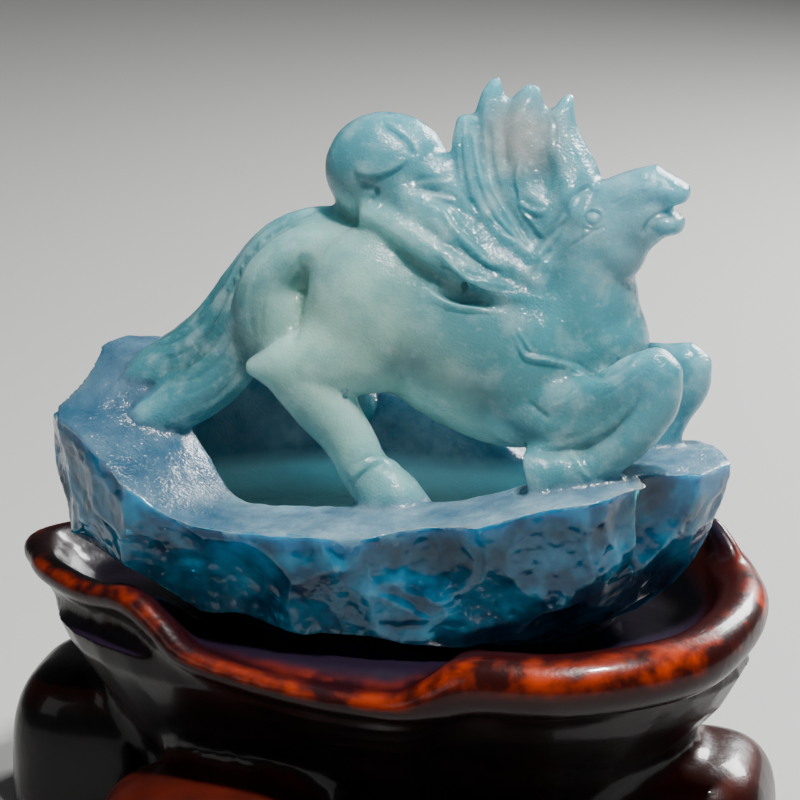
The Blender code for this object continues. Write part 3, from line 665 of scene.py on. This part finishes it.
# How many flakes, their round's radius and their depth in mm, and the seed that places them
for count, radii, depths, seed in (
    (60, (60, 200), (0.3, 0.7), 2), (60, (14, 40), (0.4, 0.9), 3),
    (110, (5, 14), (0.12, 0.35), 4), (200, (1.6, 5), (0.05, 0.16), 5),
):
    flake(skin, normals[torn], side[torn], count, radii, depths, seed)
points[torn] = skin
frosted = (1 - broken) * (1 - horse)
# The unevenness that the wheel left: where, how far below the skin, its swing, its width, and the seed
sunk = np.zeros(len(points))
for where, below, swing, wide, seed in (
    (frosted, 0.12, 0.22, 2.6, 1), (frosted, 0.0, 0.10, 0.9, 6), (side, 0.10, 0.14, 1.4, 2),
    (horse, 0.0, 0.07, 1.8, 7),
):
    sunk += where * (below + swing * wander(points, wide, seed))
points -= normals * sunk[:, None]
write(mesh, points)


def smooth_line(pairs):
    """A line through a few points of the view, with the bends rounded."""
    rows = [(x, y, 0.0, 1.0, 1.0) for x, y in pairs]
    return smooth_stations(rows, 6)[:, :2]


def cut(view, line, reach):
    """Each point's distance to a line in the view in mm, which side it lies on, and its share along it."""
    far = np.full(len(view), 99.0)
    side = np.zeros(len(view))
    share = np.zeros(len(view))
    square = WIDE / VIEW
    low, high = line.min(axis=0) - reach / square, line.max(axis=0) + reach / square
    near = np.flatnonzero(((view > low) & (view < high)).all(axis=1))
    for i in range(len(line) - 1):
        a, b = line[i], line[i + 1]
        step = b - a
        t = np.clip((view[near] - a) @ step / (step @ step), 0.0, 1.0)
        offset = view[near] - a - t[:, None] * step
        gap = np.hypot(offset[:, 0], offset[:, 1]) * square
        closer = gap < far[near]
        chosen = near[closer]
        far[chosen] = gap[closer]
        side[chosen] = np.sign(step[0] * offset[closer, 1] - step[1] * offset[closer, 0])
        share[chosen] = (i + t[closer]) / (len(line) - 1)
    return far, side, share


# Each line: what it is, its width and depth in mm, and its points in the view. A groove is cut in, a
# ridge is left standing, a step leaves the side to the left of its direction higher.
GROOVES = [
    (0.4, 0.5, [(461, 122), (460, 145), (463, 172), (469, 196), (474, 205)]),
    (0.4, 0.5, [(469, 127), (473, 148), (474, 169), (481, 193), (496, 220), (514, 238)]),
    (0.4, 0.5, [(478, 119), (481, 139), (485, 169), (490, 190), (502, 211), (520, 238), (532, 250)]),
    (0.5, 0.6, [(489, 124), (491, 148), (493, 169), (502, 196), (517, 220), (534, 247)]),
    (0.34, 0.35, [(454, 160), (459, 180), (467, 198), (480, 214)]),
    (0.3, 0.28, [(486, 218), (500, 230), (514, 236)]),
    (0.3, 0.28, [(492, 214), (504, 227), (520, 240)]),
    (0.4, 0.4, [(509, 100), (504, 124), (505, 148), (507, 166)]),
    (0.36, 0.32, [(543, 108), (547, 124), (542, 142)]),
    (0.36, 0.32, [(551, 115), (556, 130), (554, 146)]),
    (0.5, 0.5, [(593, 186), (580, 192), (568, 201), (556, 220), (547, 238)]),
    (0.45, 0.4, [(566, 207), (564, 222), (553, 247), (539, 262), (532, 280)]),
    (0.32, 0.3, [(568, 219), (550, 235), (538, 248), (531, 259)]),
    (0.45, 0.65, [(382, 124), (392, 130), (403, 139), (410, 146), (414, 156)]),
    (0.5, 0.55, [(361, 179), (365, 186), (369, 188), (374, 188), (377, 194), (374, 199), (369, 199)]),
    (0.34, 0.5, [(679, 208), (672, 210), (660, 214), (651, 219), (646, 226), (643, 236)]),
    (0.26, 0.26, [(651, 228), (660, 232), (669, 231), (681, 228)]),
    (0.24, 0.24, [(653, 222), (662, 219), (672, 217)]),
    (0.26, 0.3, [(583, 224), (582, 232), (580, 240)]),
    (0.24, 0.28, [(568, 248), (582, 239), (594, 231), (605, 226)]),
    (0.22, 0.22, [(584, 228), (589, 230), (597, 228)]),
    (0.3, 0.2, [(638, 214), (645, 207), (652, 199)]),
    (0.22, 0.18, [(610, 205), (622, 199), (632, 190)]),
    (0.32, 0.2, [(609, 284), (605, 294), (602, 306)]),
    (0.35, 0.35, [(529, 402), (537, 409), (549, 419)]),
    (0.7, 0.6, [(300, 250), (302, 280), (300, 310), (292, 345)]),
    (0.35, 0.4, [(285, 222), (262, 240), (243, 266), (232, 296), (232, 322)]),
    (0.3, 0.35, [(322, 208), (292, 220), (268, 236), (246, 258), (228, 290), (214, 320)]),
    (0.3, 0.3, [(300, 236), (276, 250), (258, 276), (250, 306), (254, 336)]),
    (0.28, 0.28, [(214, 322), (198, 342), (176, 356), (156, 358)]),
    (0.28, 0.28, [(222, 330), (206, 352), (182, 368), (160, 370)]),
    (0.28, 0.28, [(232, 338), (216, 362), (194, 378), (170, 382)]),
    (0.28, 0.28, [(206, 316), (188, 332), (168, 342), (152, 344)]),
    (0.26, 0.26, [(262, 222), (240, 250), (222, 284), (204, 306), (184, 322)]),
    (0.26, 0.26, [(286, 262), (270, 284), (262, 312), (262, 342)]),
    (0.26, 0.26, [(240, 342), (226, 368), (206, 386), (184, 394)]),
    (0.26, 0.26, [(246, 350), (236, 376), (218, 396), (200, 406)]),
    (0.26, 0.22, [(352, 466), (366, 458), (382, 456), (396, 460)]),
    (0.24, 0.2, [(600, 398), (618, 388), (634, 376), (646, 366)]),
    (0.24, 0.2, [(560, 440), (584, 432), (606, 420), (622, 404)]),
]
RIDGES = [
    (0.4, 0.35, [(409, 187), (424, 183), (440, 182), (451, 182)]),
    (0.4, 0.4, [(412, 193), (430, 196), (448, 199), (457, 205)]),
    (0.5, 0.5, [(442, 207), (448, 220), (454, 229), (472, 247), (490, 262), (511, 271)]),
    (0.36, 0.35, [(446, 204), (454, 211), (461, 219)]),
    (0.4, 0.4, [(433, 259), (451, 265), (466, 277), (484, 287)]),
    (0.4, 0.35, [(474, 278), (490, 283), (514, 286)]),
    (0.45, 0.45, [(430, 292), (442, 301), (460, 307), (478, 308), (502, 311)]),
    (0.36, 0.5, [(509, 325), (517, 340), (527, 356), (550, 360), (575, 367), (590, 376), (603, 380),
                  (618, 375), (630, 364), (641, 350)]),
    (0.34, 0.3, [(516, 326), (524, 340), (532, 352)]),
    (0.34, 0.3, [(551, 408), (566, 400), (580, 388)]),
    (0.36, 0.4, [(521, 162), (517, 178), (519, 194)]),
    (0.4, 0.45, [(520, 202), (527, 207), (536, 211), (546, 211)]),
    (0.26, 0.3, [(585, 216), (588, 210), (594, 208), (600, 210), (603, 215)]),
    (0.4, 0.3, [(567, 447), (577, 461), (584, 472), (594, 479)]),
]
STEPS = [
    (1.6, 0.5, [(353, 169), (360, 173), (372, 175), (386, 172), (400, 166), (414, 157)]),
    (1.4, 0.4, [(519, 180), (518, 194), (520, 210), (530, 222), (540, 234), (547, 238)]),
    (2.2, 0.6, [(432, 254), (444, 260), (456, 272), (468, 282), (484, 290), (505, 293)]),
    (1.8, -0.6, [(429, 290), (440, 296), (456, 303), (472, 306), (490, 309), (506, 310)]),
    (2, -0.6, [(560, 364), (575, 369), (590, 378), (603, 382), (618, 377), (632, 364), (642, 352)]),
    (1.8, 0.5, [(535, 453), (541, 450), (563, 447), (577, 444), (601, 435), (619, 421), (633, 404),
                 (639, 390)]),
    (1.4, 0.5, [(345, 470), (352, 478), (364, 470), (380, 462), (398, 470)]),
]
# Small domes and pits: place in the view, radius there, height in mm, and the depth of the ring around it
DOMES = [
    (593, 218, 6.2, 0.34, 0.22), (645, 176, 5.5, 0.3, 0), (646, 187, 4.5, 0.26, 0),
    (669, 192, 5, 0.25, 0), (660, 184, 3.6, -0.3, 0), (669, 221, 12, 0.25, 0),
    (463, 289, 4.6, -1.1, 0), (301, 291, 4.2, -1.3, 0), (548, 176, 30, -0.8, 0),
    (376, 192, 4, -0.5, 0), (531, 165, 3.5, 0.3, 0), (537, 172, 3, 0.26, 0),
    (526, 172, 3, 0.24, 0), (596, 187, 5, 0.4, 0),
]
across, down, away = seen(points)
view = np.stack([across, down], axis=1)
normals = outward(mesh)
facing = np.clip((normals @ BACK) * 4, 0.0, 1.0) * in_sight(across, down, away)
lift = np.zeros(len(points))
for width, depth, pairs in GROOVES:
    far, side, share = cut(view, smooth_line(pairs), 4 * width)
    profile = np.exp(-((far / width) ** 2))
    lift -= depth * profile * np.clip(8 * np.minimum(share, 1 - share) + 0.25, 0, 1) * facing
for width, depth, pairs in RIDGES:
    far, side, share = cut(view, smooth_line(pairs), 4 * width)
    profile = np.exp(-((far / width) ** 2)) - 0.35 * np.exp(-(((far - 1.9 * width) / width) ** 2))
    lift += depth * profile * np.clip(5 * np.minimum(share, 1 - share), 0, 1) * facing
for width, depth, pairs in STEPS:
    far, side, share = cut(view, smooth_line(pairs), 4 * width)
    profile = -side * np.minimum(far / 0.25, 1.0) * np.exp(-far / width)
    lift += depth * profile * np.clip(5 * np.minimum(share, 1 - share), 0, 1) * facing
for x, y, radius, height, ring in DOMES:
    far = np.hypot(across - x, down - y) / radius
    round_off = 0.5 if height > 0 else 2.0
    lift += height * np.clip(1 - far**2, 0, 1) ** round_off * facing
    lift -= ring * np.exp(-(((far - 1.15) / 0.22) ** 2)) * facing
points += normals * lift[:, None]
write(mesh, points)

low, high = [np.array(corner) / MM - STONE_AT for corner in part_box("horse_carving")]
points = np.clip(points, low + 0.02, high - 0.02)
write(mesh, points)
keep(mesh, "broken", spread(mesh, broken, 60))
keep(mesh, "horse", horse)
# Where the basin's hollow lies, which the material paints lighter: painted light in its shade
HOLLOW_TOP, HOLLOW_FRONT = 25.5, -17.0
hollow_painted_light = np.clip((HOLLOW_TOP - points[:, 2]) / 3, 0, 1) * np.clip((points[:, 1] - HOLLOW_FRONT) / 4, 0, 1)
keep(mesh, "hollow_painted_light", hollow_painted_light * (1 - horse) * (1 - spread(mesh, broken, 10)))
thin_out(stone, STONE_LIMIT)
level_cut(stone, UNDERSIDE)
stone.data.shade_smooth()
mesh = stone.data
points = places(mesh)
normals = outward(mesh)
# How sharp the skin is at each place; the broken sides are painted lighter along sharp edges, as painted
# light
ridge = sum(normals[:, k] * (points[:, k] - spread(mesh, points[:, k], 6)) for k in range(3))
keep(mesh, "edge", ridge)
write(mesh, (points + STONE_AT) * MM)


# The finish of the stone
# All of it is aquamarine. The horse is ground and waxed, the ledges and the hollow are frosted by the
# grinding, and the sides are left as they broke.
def linear(code):
    """An sRGB hex colour as the linear colour that shaders work in."""
    parts = [int(code[i:i + 2], 16) / 255 for i in (0, 2, 4)]
    return tuple(p / 12.92 if p <= 0.04045 else ((p + 0.055) / 1.055) ** 2.4 for p in parts) + (1.0,)


def add(tree, kind, inputs, output=0, **settings):
    """Adds a node with its settings and inputs, each a value or a socket to link, and returns an output."""
    made = tree.nodes.new(kind)
    for name, value in settings.items():
        setattr(made, name, value)
    for name, value in inputs.items():
        if isinstance(value, bpy.types.NodeSocket):
            tree.links.new(value, made.inputs[name])
        else:
            made.inputs[name].default_value = value
    return made.outputs[output] if made.outputs else made


# Ground and broken aquamarine. The eye sees cloudy sea green with small sharp glints in the horse, a dull
# pale blue on the ledges, and deep blue that looks wet, with shallow flake marks, on the sides.
aquamarine = bpy.data.materials.new("aquamarine_ground_and_broken")
aquamarine.use_nodes = True
tree = aquamarine.node_tree
tree.nodes.clear()
spot = add(tree, "ShaderNodeTexCoord", {}, "Object")
horse_mark, broken_mark, hollow_painted_light_mark, edge_painted_glow_and_wear_mark = (
    add(tree, "ShaderNodeAttribute", {}, "Fac", attribute_name=name)
    for name in ("horse", "broken", "hollow_painted_light", "edge")
)
# Clouds of the named widths in mm. The grit is drawn coarser than the real scratches, which are 0.1 mm.
broad, middling, torn, streak, grit, swell = (
    add(tree, "ShaderNodeTexNoise", {"Vector": spot, "Scale": 1 / (wide * MM), "Detail": detail}, "Fac")
    for wide, detail in ((16.0, 3.0), (7.0, 3.0), (5.0, 4.0), (1.4, 2.0), (0.42, 2.0), (2.4, 2.0))
)
# The sockets of a mix node for colours: how much, the colour under and over, and the result
MIX_BY, MIX_UNDER, MIX_OVER, MIX_RESULT = 0, 6, 7, 2
# Tints inside the horse, from the croup to the chest: place and reach in mm, how strong, and the colour.
# The dark tint at the near fore hoof is painted shade, and the dark tint on the tail is partly its own tone
# and partly painted shade of the holes between its locks.
TINTS_AND_PAINTED_SHADE = [
    ((-2.0, -8.0, 84.0), 30.0, 1.0, "9fc9bb"), ((8.0, -8.0, 74.0), 16.0, 0.9, "8cbdb5"),
    ((30.0, -10.0, 82.0), 17.0, 0.9, "4a8d95"), ((14.0, -8.0, 93.0), 14.0, 0.8, "3f828b"),
    ((22.5, 0.0, 115.5), 9.0, 0.85, "a3a09a"), ((-27.0, 0.0, 82.0), 18.0, 0.9, "386970"),
    ((38.0, -4.0, 104.0), 14.0, 0.8, "80b3be"), ((34.0, -12.0, 70.0), 13.0, 0.8, "5a9198"),
]
# Clouds and edges that show as a colour: which, where it starts and is full, how strong, and the colour.
# In the horse they are depths and whitish veils over the tints, and on the ledges darker streaks. On the
# broken sides the sharp edges are painted lighter: painted light, for light shining through the thin stone.
SEA_BED = [(broad, 0.35, 0.65, 1.0, "498a95")]
SEA_VEILS = [
    (middling, 0.42, 0.66, 0.45, "3c7f8b"), (torn, 0.50, 0.74, 0.34, "c2dcdb"),
    (streak, 0.58, 0.85, 0.2, "cfe4e3"),
]
LEDGE = [(middling, 0.3, 0.7, 1.0, "87a5b3"), (streak, 0.45, 0.75, 0.55, "47788f")]
SIDES = [(middling, 0.38, 0.62, 1.0, "2381a6"), (edge_painted_glow_and_wear_mark, 0.05, 0.30, 0.35, "77b9cb")]
coats = {}
for name, clouds in (("bed", SEA_BED), ("veils", SEA_VEILS), ("ledge", LEDGE), ("sides", SIDES)):
    coats[name] = []
    for cloud, low, high, strength, tint in clouds:
        share = add(tree, "ShaderNodeMapRange", {
            "Value": cloud, "From Min": low, "From Max": high, "To Max": strength,
        })
        coats[name].append((share, linear(tint)))
for centre, reach, strength, tint in TINTS_AND_PAINTED_SHADE:
    centre = tuple(c * MM for c in centre)
    away = add(tree, "ShaderNodeVectorMath", {0: spot, 1: centre}, "Value", operation="DISTANCE")
    share = add(
        tree, "ShaderNodeMapRange",
        {"Value": away, "From Min": reach * MM, "From Max": 0.25 * reach * MM, "To Max": strength},
        interpolation_type="SMOOTHSTEP",
    )
    coats["bed"].append((share, linear(tint)))
# The left end of the ledge is darker, and the hollow is painted lighter: painted light, for light that comes
# through the stone into the hollow's shade
along = add(tree, "ShaderNodeSeparateXYZ", {"Vector": spot}, "X")
left_end = add(
    tree, "ShaderNodeMapRange",
    {"Value": along, "From Min": -30 * MM, "From Max": -8 * MM, "To Min": 0.6, "To Max": 0.0},
)
hollow_painted_light = add(tree, "ShaderNodeMath", {0: hollow_painted_light_mark, 1: 0.9}, operation="MULTIPLY")
coats["ledge"] += [(left_end, linear("27506a")), (hollow_painted_light, linear("b0d8da"))]
# The border of the broken sides wanders by 2 mm, because the frosted top was ground over a torn edge
shift = add(tree, "ShaderNodeMath", {0: torn, 1: 2.0, 2: broken_mark}, operation="MULTIPLY_ADD")
shift = add(tree, "ShaderNodeMath", {0: streak, 1: 0.4, 2: shift}, operation="MULTIPLY_ADD")
shell = add(
    tree, "ShaderNodeMapRange", {"Value": shift, "From Min": 1.66, "From Max": 1.84},
    interpolation_type="SMOOTHSTEP",
)
finished = {}
for name, ground, layers in (
    ("horse", "5d9da8", coats["bed"] + coats["veils"]), ("ledge", "3b657e", coats["ledge"]),
    ("sides", "07415f", coats["sides"]),
):
    finished[name] = linear(ground)
    for share, tint in layers:
        finished[name] = add(
            tree, "ShaderNodeMix", {MIX_BY: share, MIX_UNDER: finished[name], MIX_OVER: tint}, MIX_RESULT,
            data_type="RGBA",
        )
colour = finished["ledge"]
for share, over in ((horse_mark, finished["horse"]), (shell, finished["sides"])):
    colour = add(
        tree, "ShaderNodeMix", {MIX_BY: share, MIX_UNDER: colour, MIX_OVER: over}, MIX_RESULT,
        data_type="RGBA",
    )
ground = add(tree, "ShaderNodeMapRange", {"Value": horse_mark, "To Min": 0.20, "To Max": 0.105})
rough = add(tree, "ShaderNodeMapRange", {"Value": shell, "To Min": ground, "To Max": 0.11})
# Flakes on the broken sides, 3 mm wide, and fine grit everywhere else
flakes = add(tree, "ShaderNodeTexVoronoi", {"Vector": spot, "Scale": 1 / (3.2 * MM)}, "Distance")
chipped = add(tree, "ShaderNodeMath", {0: flakes, 1: 0.5, 2: swell}, operation="MULTIPLY_ADD")
ground = add(tree, "ShaderNodeMath", {0: swell, 1: 0.5, 2: grit}, operation="MULTIPLY_ADD")
height = add(tree, "ShaderNodeMapRange", {"Value": shell, "To Min": ground, "To Max": chipped})
facing = add(tree, "ShaderNodeBump", {"Height": height, "Strength": 0.9, "Distance": 0.00019}, "Normal")
stone_shader = add(tree, "ShaderNodeBsdfPrincipled", {
    "Base Color": colour, "Roughness": rough, "Transmission Weight": 0.22, "Normal": facing, "IOR": 1.57,
    "Specular IOR Level": 0.36, "Subsurface Weight": 0.8, "Subsurface Radius": (0.7, 1.0, 1.1),
    "Subsurface Scale": 0.010,
})
add(tree, "ShaderNodeOutputMaterial", {"Surface": stone_shader})
stone.data.materials.clear()
stone.data.materials.append(aquamarine)
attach(stone, "root")
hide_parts("horse_carving")


# The stand
# One block of hardwood, carved to a bowl with a rolled wavy rim on a lobed foot, and lacquered almost
# black. The seat is cut into it to the outline of the stone's keel.
SEAT_HEIGHT = 38.5
RECESS_DEPTH = 1.0
SEAT_CLEARANCE = 0.9
STAND_AT = np.array((3.017, 0.706, 0.0))
BOWL_REACH = (58.0, 33.0)
# Heights of the bowl, with its reach to the left, right, front and back there
BOWL_LEVELS = [
    (-2, 36, 38, 18, 18), (13, 38.5, 39, 18, 18.5), (22, 45.5, 46, 22.5, 22),
    (29, 49.5, 52, 27.5, 26.5), (34.5, 53, 55, 31, 30), (37.6, 55, 54, 30.5, 29.5),
    (39.6, 52, 48, 26.5, 26.5),
]
# Places along the rim, with its half height and half width
RIM = [
    (-60, 6, 43.4, 2.2, 2.5), (-56.6, -4.2, 43.6, 2.1, 2.4), (-51, -11, 43.6, 2.1, 2.4),
    (-44.5, -16.2, 43.7, 2.2, 2.4), (-37.5, -21, 44.8, 2.4, 2.6), (-32, -24.2, 42.2, 2.2, 2.5),
    (-27, -27.2, 39.2, 2, 2.4), (-17.5, -29.4, 37.2, 2, 2.4), (-5, -31.4, 36, 2.1, 2.5),
    (6.5, -32.4, 35.9, 2.3, 2.6), (12.5, -32.2, 37.8, 3.6, 3.8), (18.5, -31.5, 40, 4.8, 4.8),
    (30, -31, 40.4, 4.8, 5), (41, -27, 41.2, 4.8, 5), (48.5, -20, 41.6, 4.6, 4.8),
    (52.6, -9, 42.4, 4.2, 4.4), (53.4, 1, 42.8, 4, 4.2), (52, 9, 42.8, 3.9, 4),
    (48.5, 17.5, 43.6, 3.6, 3.8), (42.5, 25.5, 43.6, 3.2, 3.4), (30, 30, 42.4, 2.8, 3),
    (12, 31.5, 39.8, 2.6, 2.8), (-10, 31.5, 38.6, 2.4, 2.6), (-32, 29, 39.6, 2.4, 2.6),
    (-50, 20, 41.8, 2.4, 2.6),
]
# The leaf that rises from the rim at the back right, and the folds at the ends of the rim's steps
RIM_LEAF = [
    (50.5, 13.5, 41, 3, 6), (49.2, 14.8, 45.5, 2.3, 4.4), (47.6, 16.2, 49.2, 1.6, 2.4),
    (46.6, 17, 51.2, 0.8, 0.8),
]
RIM_FOLDS = [
    [(-37.8, -21.4, 44.6, 2.2, 2.4), (-34.6, -18.6, 43, 2, 2.4), (-31, -15.4, 40, 1.6, 2)],
    [(15, -32, 39.6, 3.4, 3), (17, -27.5, 40.6, 3, 3.2), (20.5, -23.5, 39.6, 2.2, 2.6)],
]
# The wall below the rim is a stack of rolls, each lower by the drop and drawn in by the tuck, a share of
# its length and width. The foot's lobes are squarish ellipsoids, with their centres and radii.
WALL_DROP = 2.6
WALL_RADIUS = 2.4
WALL_TUCK = (0.05, 0.07)
WALL_ROLLS = 3
FOOT_LOBES = [
    ((-51, 9, 4), (14.5, 15.5, 20.5)), ((-24, -24.5, 3), (19, 12.5, 15.5)),
    ((14, -22, 0), (18, 12, 11)), ((44, 2, 4), (15.4, 16, 15.5)),
    ((20, 22, 4), (21, 12.5, 14)), ((-22, 23, 4), (19, 12.5, 15.5)),
]
STAND_GRAIN = 0.8
STAND_LIMIT = 110000


def closed_path(stations):
    """The stations of a ring, with the first one again at the end, overlapping itself a little."""
    return stations + stations[:2]


def rim_wall(roll):
    """The stations of one of the rolls under the rim, which make the bowl's wall flare with it."""
    along, across = (1 - tuck * roll for tuck in WALL_TUCK)
    return [(x * along, y * across, z - WALL_DROP * roll, WALL_DROP, WALL_RADIUS) for x, y, z, *_ in RIM]


def stand_outline(height):
    """The outside of the bowl at a height: an oval that is a little squarer than an ellipse."""
    levels = np.array(BOWL_LEVELS)
    left, right, front, back = (np.interp(height, levels[:, 0], levels[:, k]) for k in range(1, 5))
    points = []
    for turn in np.radians(np.arange(0, 360, 10)):
        x = math.copysign(abs(math.cos(turn)) ** 0.85, math.cos(turn))
        y = math.copysign(abs(math.sin(turn)) ** 0.85, math.sin(turn))
        points.append((x * (left if x < 0 else right), y * (front if y < 0 else back), height))
    return points


ledge = SEAT_HEIGHT + RECESS_DEPTH
heights = [row[0] for row in BOWL_LEVELS if row[0] < ledge]
stand = make_object(
    "wooden_stand_wood",
    stacked(heights + [ledge], stand_outline),
    loft(closed_path(RIM), across=upright, sides=28, steps=10),
    *[
        loft(closed_path(rim_wall(roll)), across=upright, sides=28, steps=10)
        for roll in range(1, WALL_ROLLS + 1)
    ],
    loft(RIM_LEAF, across=(0.8, 0.6, 0.0), sides=28, steps=8),
    *[loft(fold, across=upright, sides=28, steps=8) for fold in RIM_FOLDS],
    *[ellipsoid(centre, radii, 24, 36, power=3.4) for centre, radii in FOOT_LOBES],
)
fuse(stand, STAND_GRAIN, fillet=1.2, smoothing=5)
seat = make_object("seat", crystal_hull(UNDERSIDE, CRYSTAL_TOP, grow=SEAT_CLEARANCE))
for vertex in seat.data.vertices:
    vertex.co.z += SEAT_HEIGHT - UNDERSIDE
thin_out(stand, STAND_LIMIT)
boolean(stand, seat, "DIFFERENCE")
level_cut(stand, 0.0)
keep_largest(stand)
stand.data.shade_smooth()
mesh = stand.data
points = places(mesh)
normals = outward(mesh)
height = points[:, 2]
ridge = sum(normals[:, k] * (points[:, k] - spread(mesh, points[:, k], 12)) for k in range(3))
# The creases below the bowl are sanded round, and only what is above the foot is rubbed by hands
BOWL_LOW, RUBBED_LOW, FOOT_TOP, SHELF_LOW = 34.0, 24.0, 22.0, 37.0
crease = np.clip(-spread(mesh, ridge, 3) / 0.12, 0.0, 1.0) * np.clip((BOWL_LOW - height) / 3.0, 0.0, 1.0)
crease *= height > 1.0
points = soften(points, spread(mesh, crease, 3), 14)
ridge *= np.clip((height - RUBBED_LOW) / 4.0, 0.0, 1.0)
keep(mesh, "edge", spread(mesh, ridge, 3))
# The foot's tops that face up, which the lacquer's material paints reddish in patches: painted highlight
keep(mesh, "foot_painted_highlight", np.clip((normals[:, 2] - 0.35) / 0.5, 0.0, 1.0) * (height < FOOT_TOP))
rim = np.zeros(len(points))
for x, y, z, up, out in smooth_stations(closed_path(RIM), 10):
    far = np.sqrt(((points[:, :2] - (x, y)) ** 2).sum(axis=1) / out**2 + (points[:, 2] - z) ** 2 / up**2)
    rim = np.maximum(rim, np.clip((1.9 - far) / 0.8, 0.0, 1.0) * np.interp(out, (2.4, 4.2), (0.7, 1.0)))
from_middle = points[:, :2] / BOWL_REACH
outer = (normals[:, :2] * from_middle).sum(axis=1) / np.maximum(np.linalg.norm(from_middle, axis=1), 0.1)
crest = rim * np.clip((normals[:, 2] + 0.05) / 0.6, 0.0, 1.0) * np.clip((outer + 0.05) / 0.5, 0.0, 1.0)
keep(mesh, "crest", spread(mesh, crest, 2))
rim *= np.clip((normals[:, 2] + 0.7) / 0.6, 0.0, 1.0)
keep(mesh, "rim", spread(mesh, rim, 6))
keep(mesh, "shelf", ((height > SHELF_LOW) & (normals[:, 2] > 0.5)).astype(float) * (1 - rim))
low, high = [np.array(corner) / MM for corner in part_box("wooden_stand")]
write(mesh, np.clip(points + STAND_AT, low, high) * MM)

# Reddish brown wood under many coats of almost black, glossy lacquer. Where edges and the rim are rubbed,
# the coats are thin, and the eye sees the wood glow orange red through them.
lacquer = bpy.data.materials.new("lacquered_hardwood")
lacquer.use_nodes = True
tree = lacquer.node_tree
tree.nodes.clear()
spot = add(tree, "ShaderNodeTexCoord", {}, "Object")
edge_painted_glow_and_wear_mark, rim_mark, crest_mark, shelf_mark, foot_painted_highlight_mark = (
    add(tree, "ShaderNodeAttribute", {}, "Fac", attribute_name=name)
    for name in ("edge", "rim", "crest", "shelf", "foot_painted_highlight")
)
patches, specks, grain = (
    add(tree, "ShaderNodeTexNoise", {"Vector": spot, "Scale": 1 / (wide * MM), "Detail": detail}, "Fac")
    for wide, detail in ((8.0, 2.0), (2.4, 3.0), (0.5, 2.0))
)
worn = add(tree, "ShaderNodeMapRange", {"Value": patches, "From Min": 0.3, "From Max": 0.7})
shelf = add(tree, "ShaderNodeMath", {0: shelf_mark, 1: 0.8}, operation="MULTIPLY")
# The foot's upward tops get a reddish painted highlight, in patches
foot_painted_highlight = add(tree, "ShaderNodeMath", {0: foot_painted_highlight_mark, 1: patches}, operation="MULTIPLY")
# How thin the lacquer is: on the rim in patches, on sharp edges everywhere
bare = add(tree, "ShaderNodeMath", {0: specks, 1: 0.4, 2: patches}, operation="MULTIPLY_ADD")
bare = add(
    tree, "ShaderNodeMapRange", {"Value": bare, "From Min": 0.58, "From Max": 0.90},
    interpolation_type="SMOOTHSTEP",
)
bare = add(tree, "ShaderNodeMath", {0: bare, 1: crest_mark}, operation="MULTIPLY")
sharp = add(tree, "ShaderNodeMapRange", {"Value": edge_painted_glow_and_wear_mark, "From Min": 0.25, "From Max": 0.75})
thin = add(tree, "ShaderNodeMath", {0: rim_mark, 1: 0.75, 2: sharp}, operation="MULTIPLY_ADD")
thin = add(tree, "ShaderNodeMath", {0: thin, 1: 1.0}, operation="MINIMUM")
glow = add(tree, "ShaderNodeMath", {0: bare, 1: sharp}, operation="MAXIMUM")
glow = add(tree, "ShaderNodeMath", {0: glow, 1: 0.9}, operation="MULTIPLY")
colour = linear("050203")
for share, tint in (
    (worn, "0f0404"), (shelf, "1c1424"), (foot_painted_highlight, "4e160a"), (thin, "2a0503"), (glow, "a23008"),
):
    colour = add(
        tree, "ShaderNodeMix", {MIX_BY: share, MIX_UNDER: colour, MIX_OVER: linear(tint)}, MIX_RESULT,
        data_type="RGBA",
    )
height = add(tree, "ShaderNodeMath", {0: grain, 1: 0.15, 2: specks}, operation="MULTIPLY_ADD")
facing = add(tree, "ShaderNodeBump", {"Height": height, "Strength": 0.35, "Distance": 0.0003}, "Normal")
stand_shader = add(tree, "ShaderNodeBsdfPrincipled", {
    "Base Color": colour, "Roughness": 0.34, "Specular IOR Level": 0.15, "Coat Weight": 0.24,
    "Coat Roughness": 0.09, "Normal": facing,
})
add(tree, "ShaderNodeOutputMaterial", {"Surface": stand_shader})
stand.data.materials.clear()
stand.data.materials.append(lacquer)
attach(stand, "root")
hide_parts("wooden_stand")


# Floor and light
# A plain pale floor. One soft light stands above on the right, a weaker one at the left opens the shadows,
# and one behind lights the far edges.
floor_mesh = bpy.data.meshes.new("floor")
floor_mesh.from_pydata([(-3, -3, 0), (3, -3, 0), (3, 3, 0), (-3, 3, 0)], [], [(0, 1, 2, 3)])
floor = bpy.data.objects.new("floor", floor_mesh)
bpy.context.scene.collection.objects.link(floor)
floor.location.z = -0.0002
pale = bpy.data.materials.new("pale_floor")
pale.use_nodes = True
for name, value in (("Base Color", linear("a8a8a6")), ("Roughness", 0.8)):
    pale.node_tree.nodes["Principled BSDF"].inputs[name].default_value = value
floor_mesh.materials.append(pale)


def softbox(name, place, size, power):
    """A square light that faces the stone."""
    light = bpy.data.lights.new(name, "AREA")
    light.size = size
    light.energy = power
    lamp = bpy.data.objects.new(name, light)
    lamp.location = place
    lamp.rotation_euler = (Vector((0, 0, 0.07)) - Vector(place)).to_track_quat("-Z", "Y").to_euler()
    bpy.context.scene.collection.objects.link(lamp)


softbox("key", (0.14, -0.16, 0.62), 0.05, 8.5)
softbox("fill", (-0.45, -0.50, 0.36), 0.30, 0.35)
softbox("back", (0.25, 0.50, 0.34), 0.20, 7.0)
world = bpy.data.worlds.new("studio")
world.use_nodes = True
for name, value in (("Color", (0.85, 0.88, 0.9, 1.0)), ("Strength", 0.07)):
    world.node_tree.nodes["Background"].inputs[name].default_value = value
bpy.context.scene.world = world
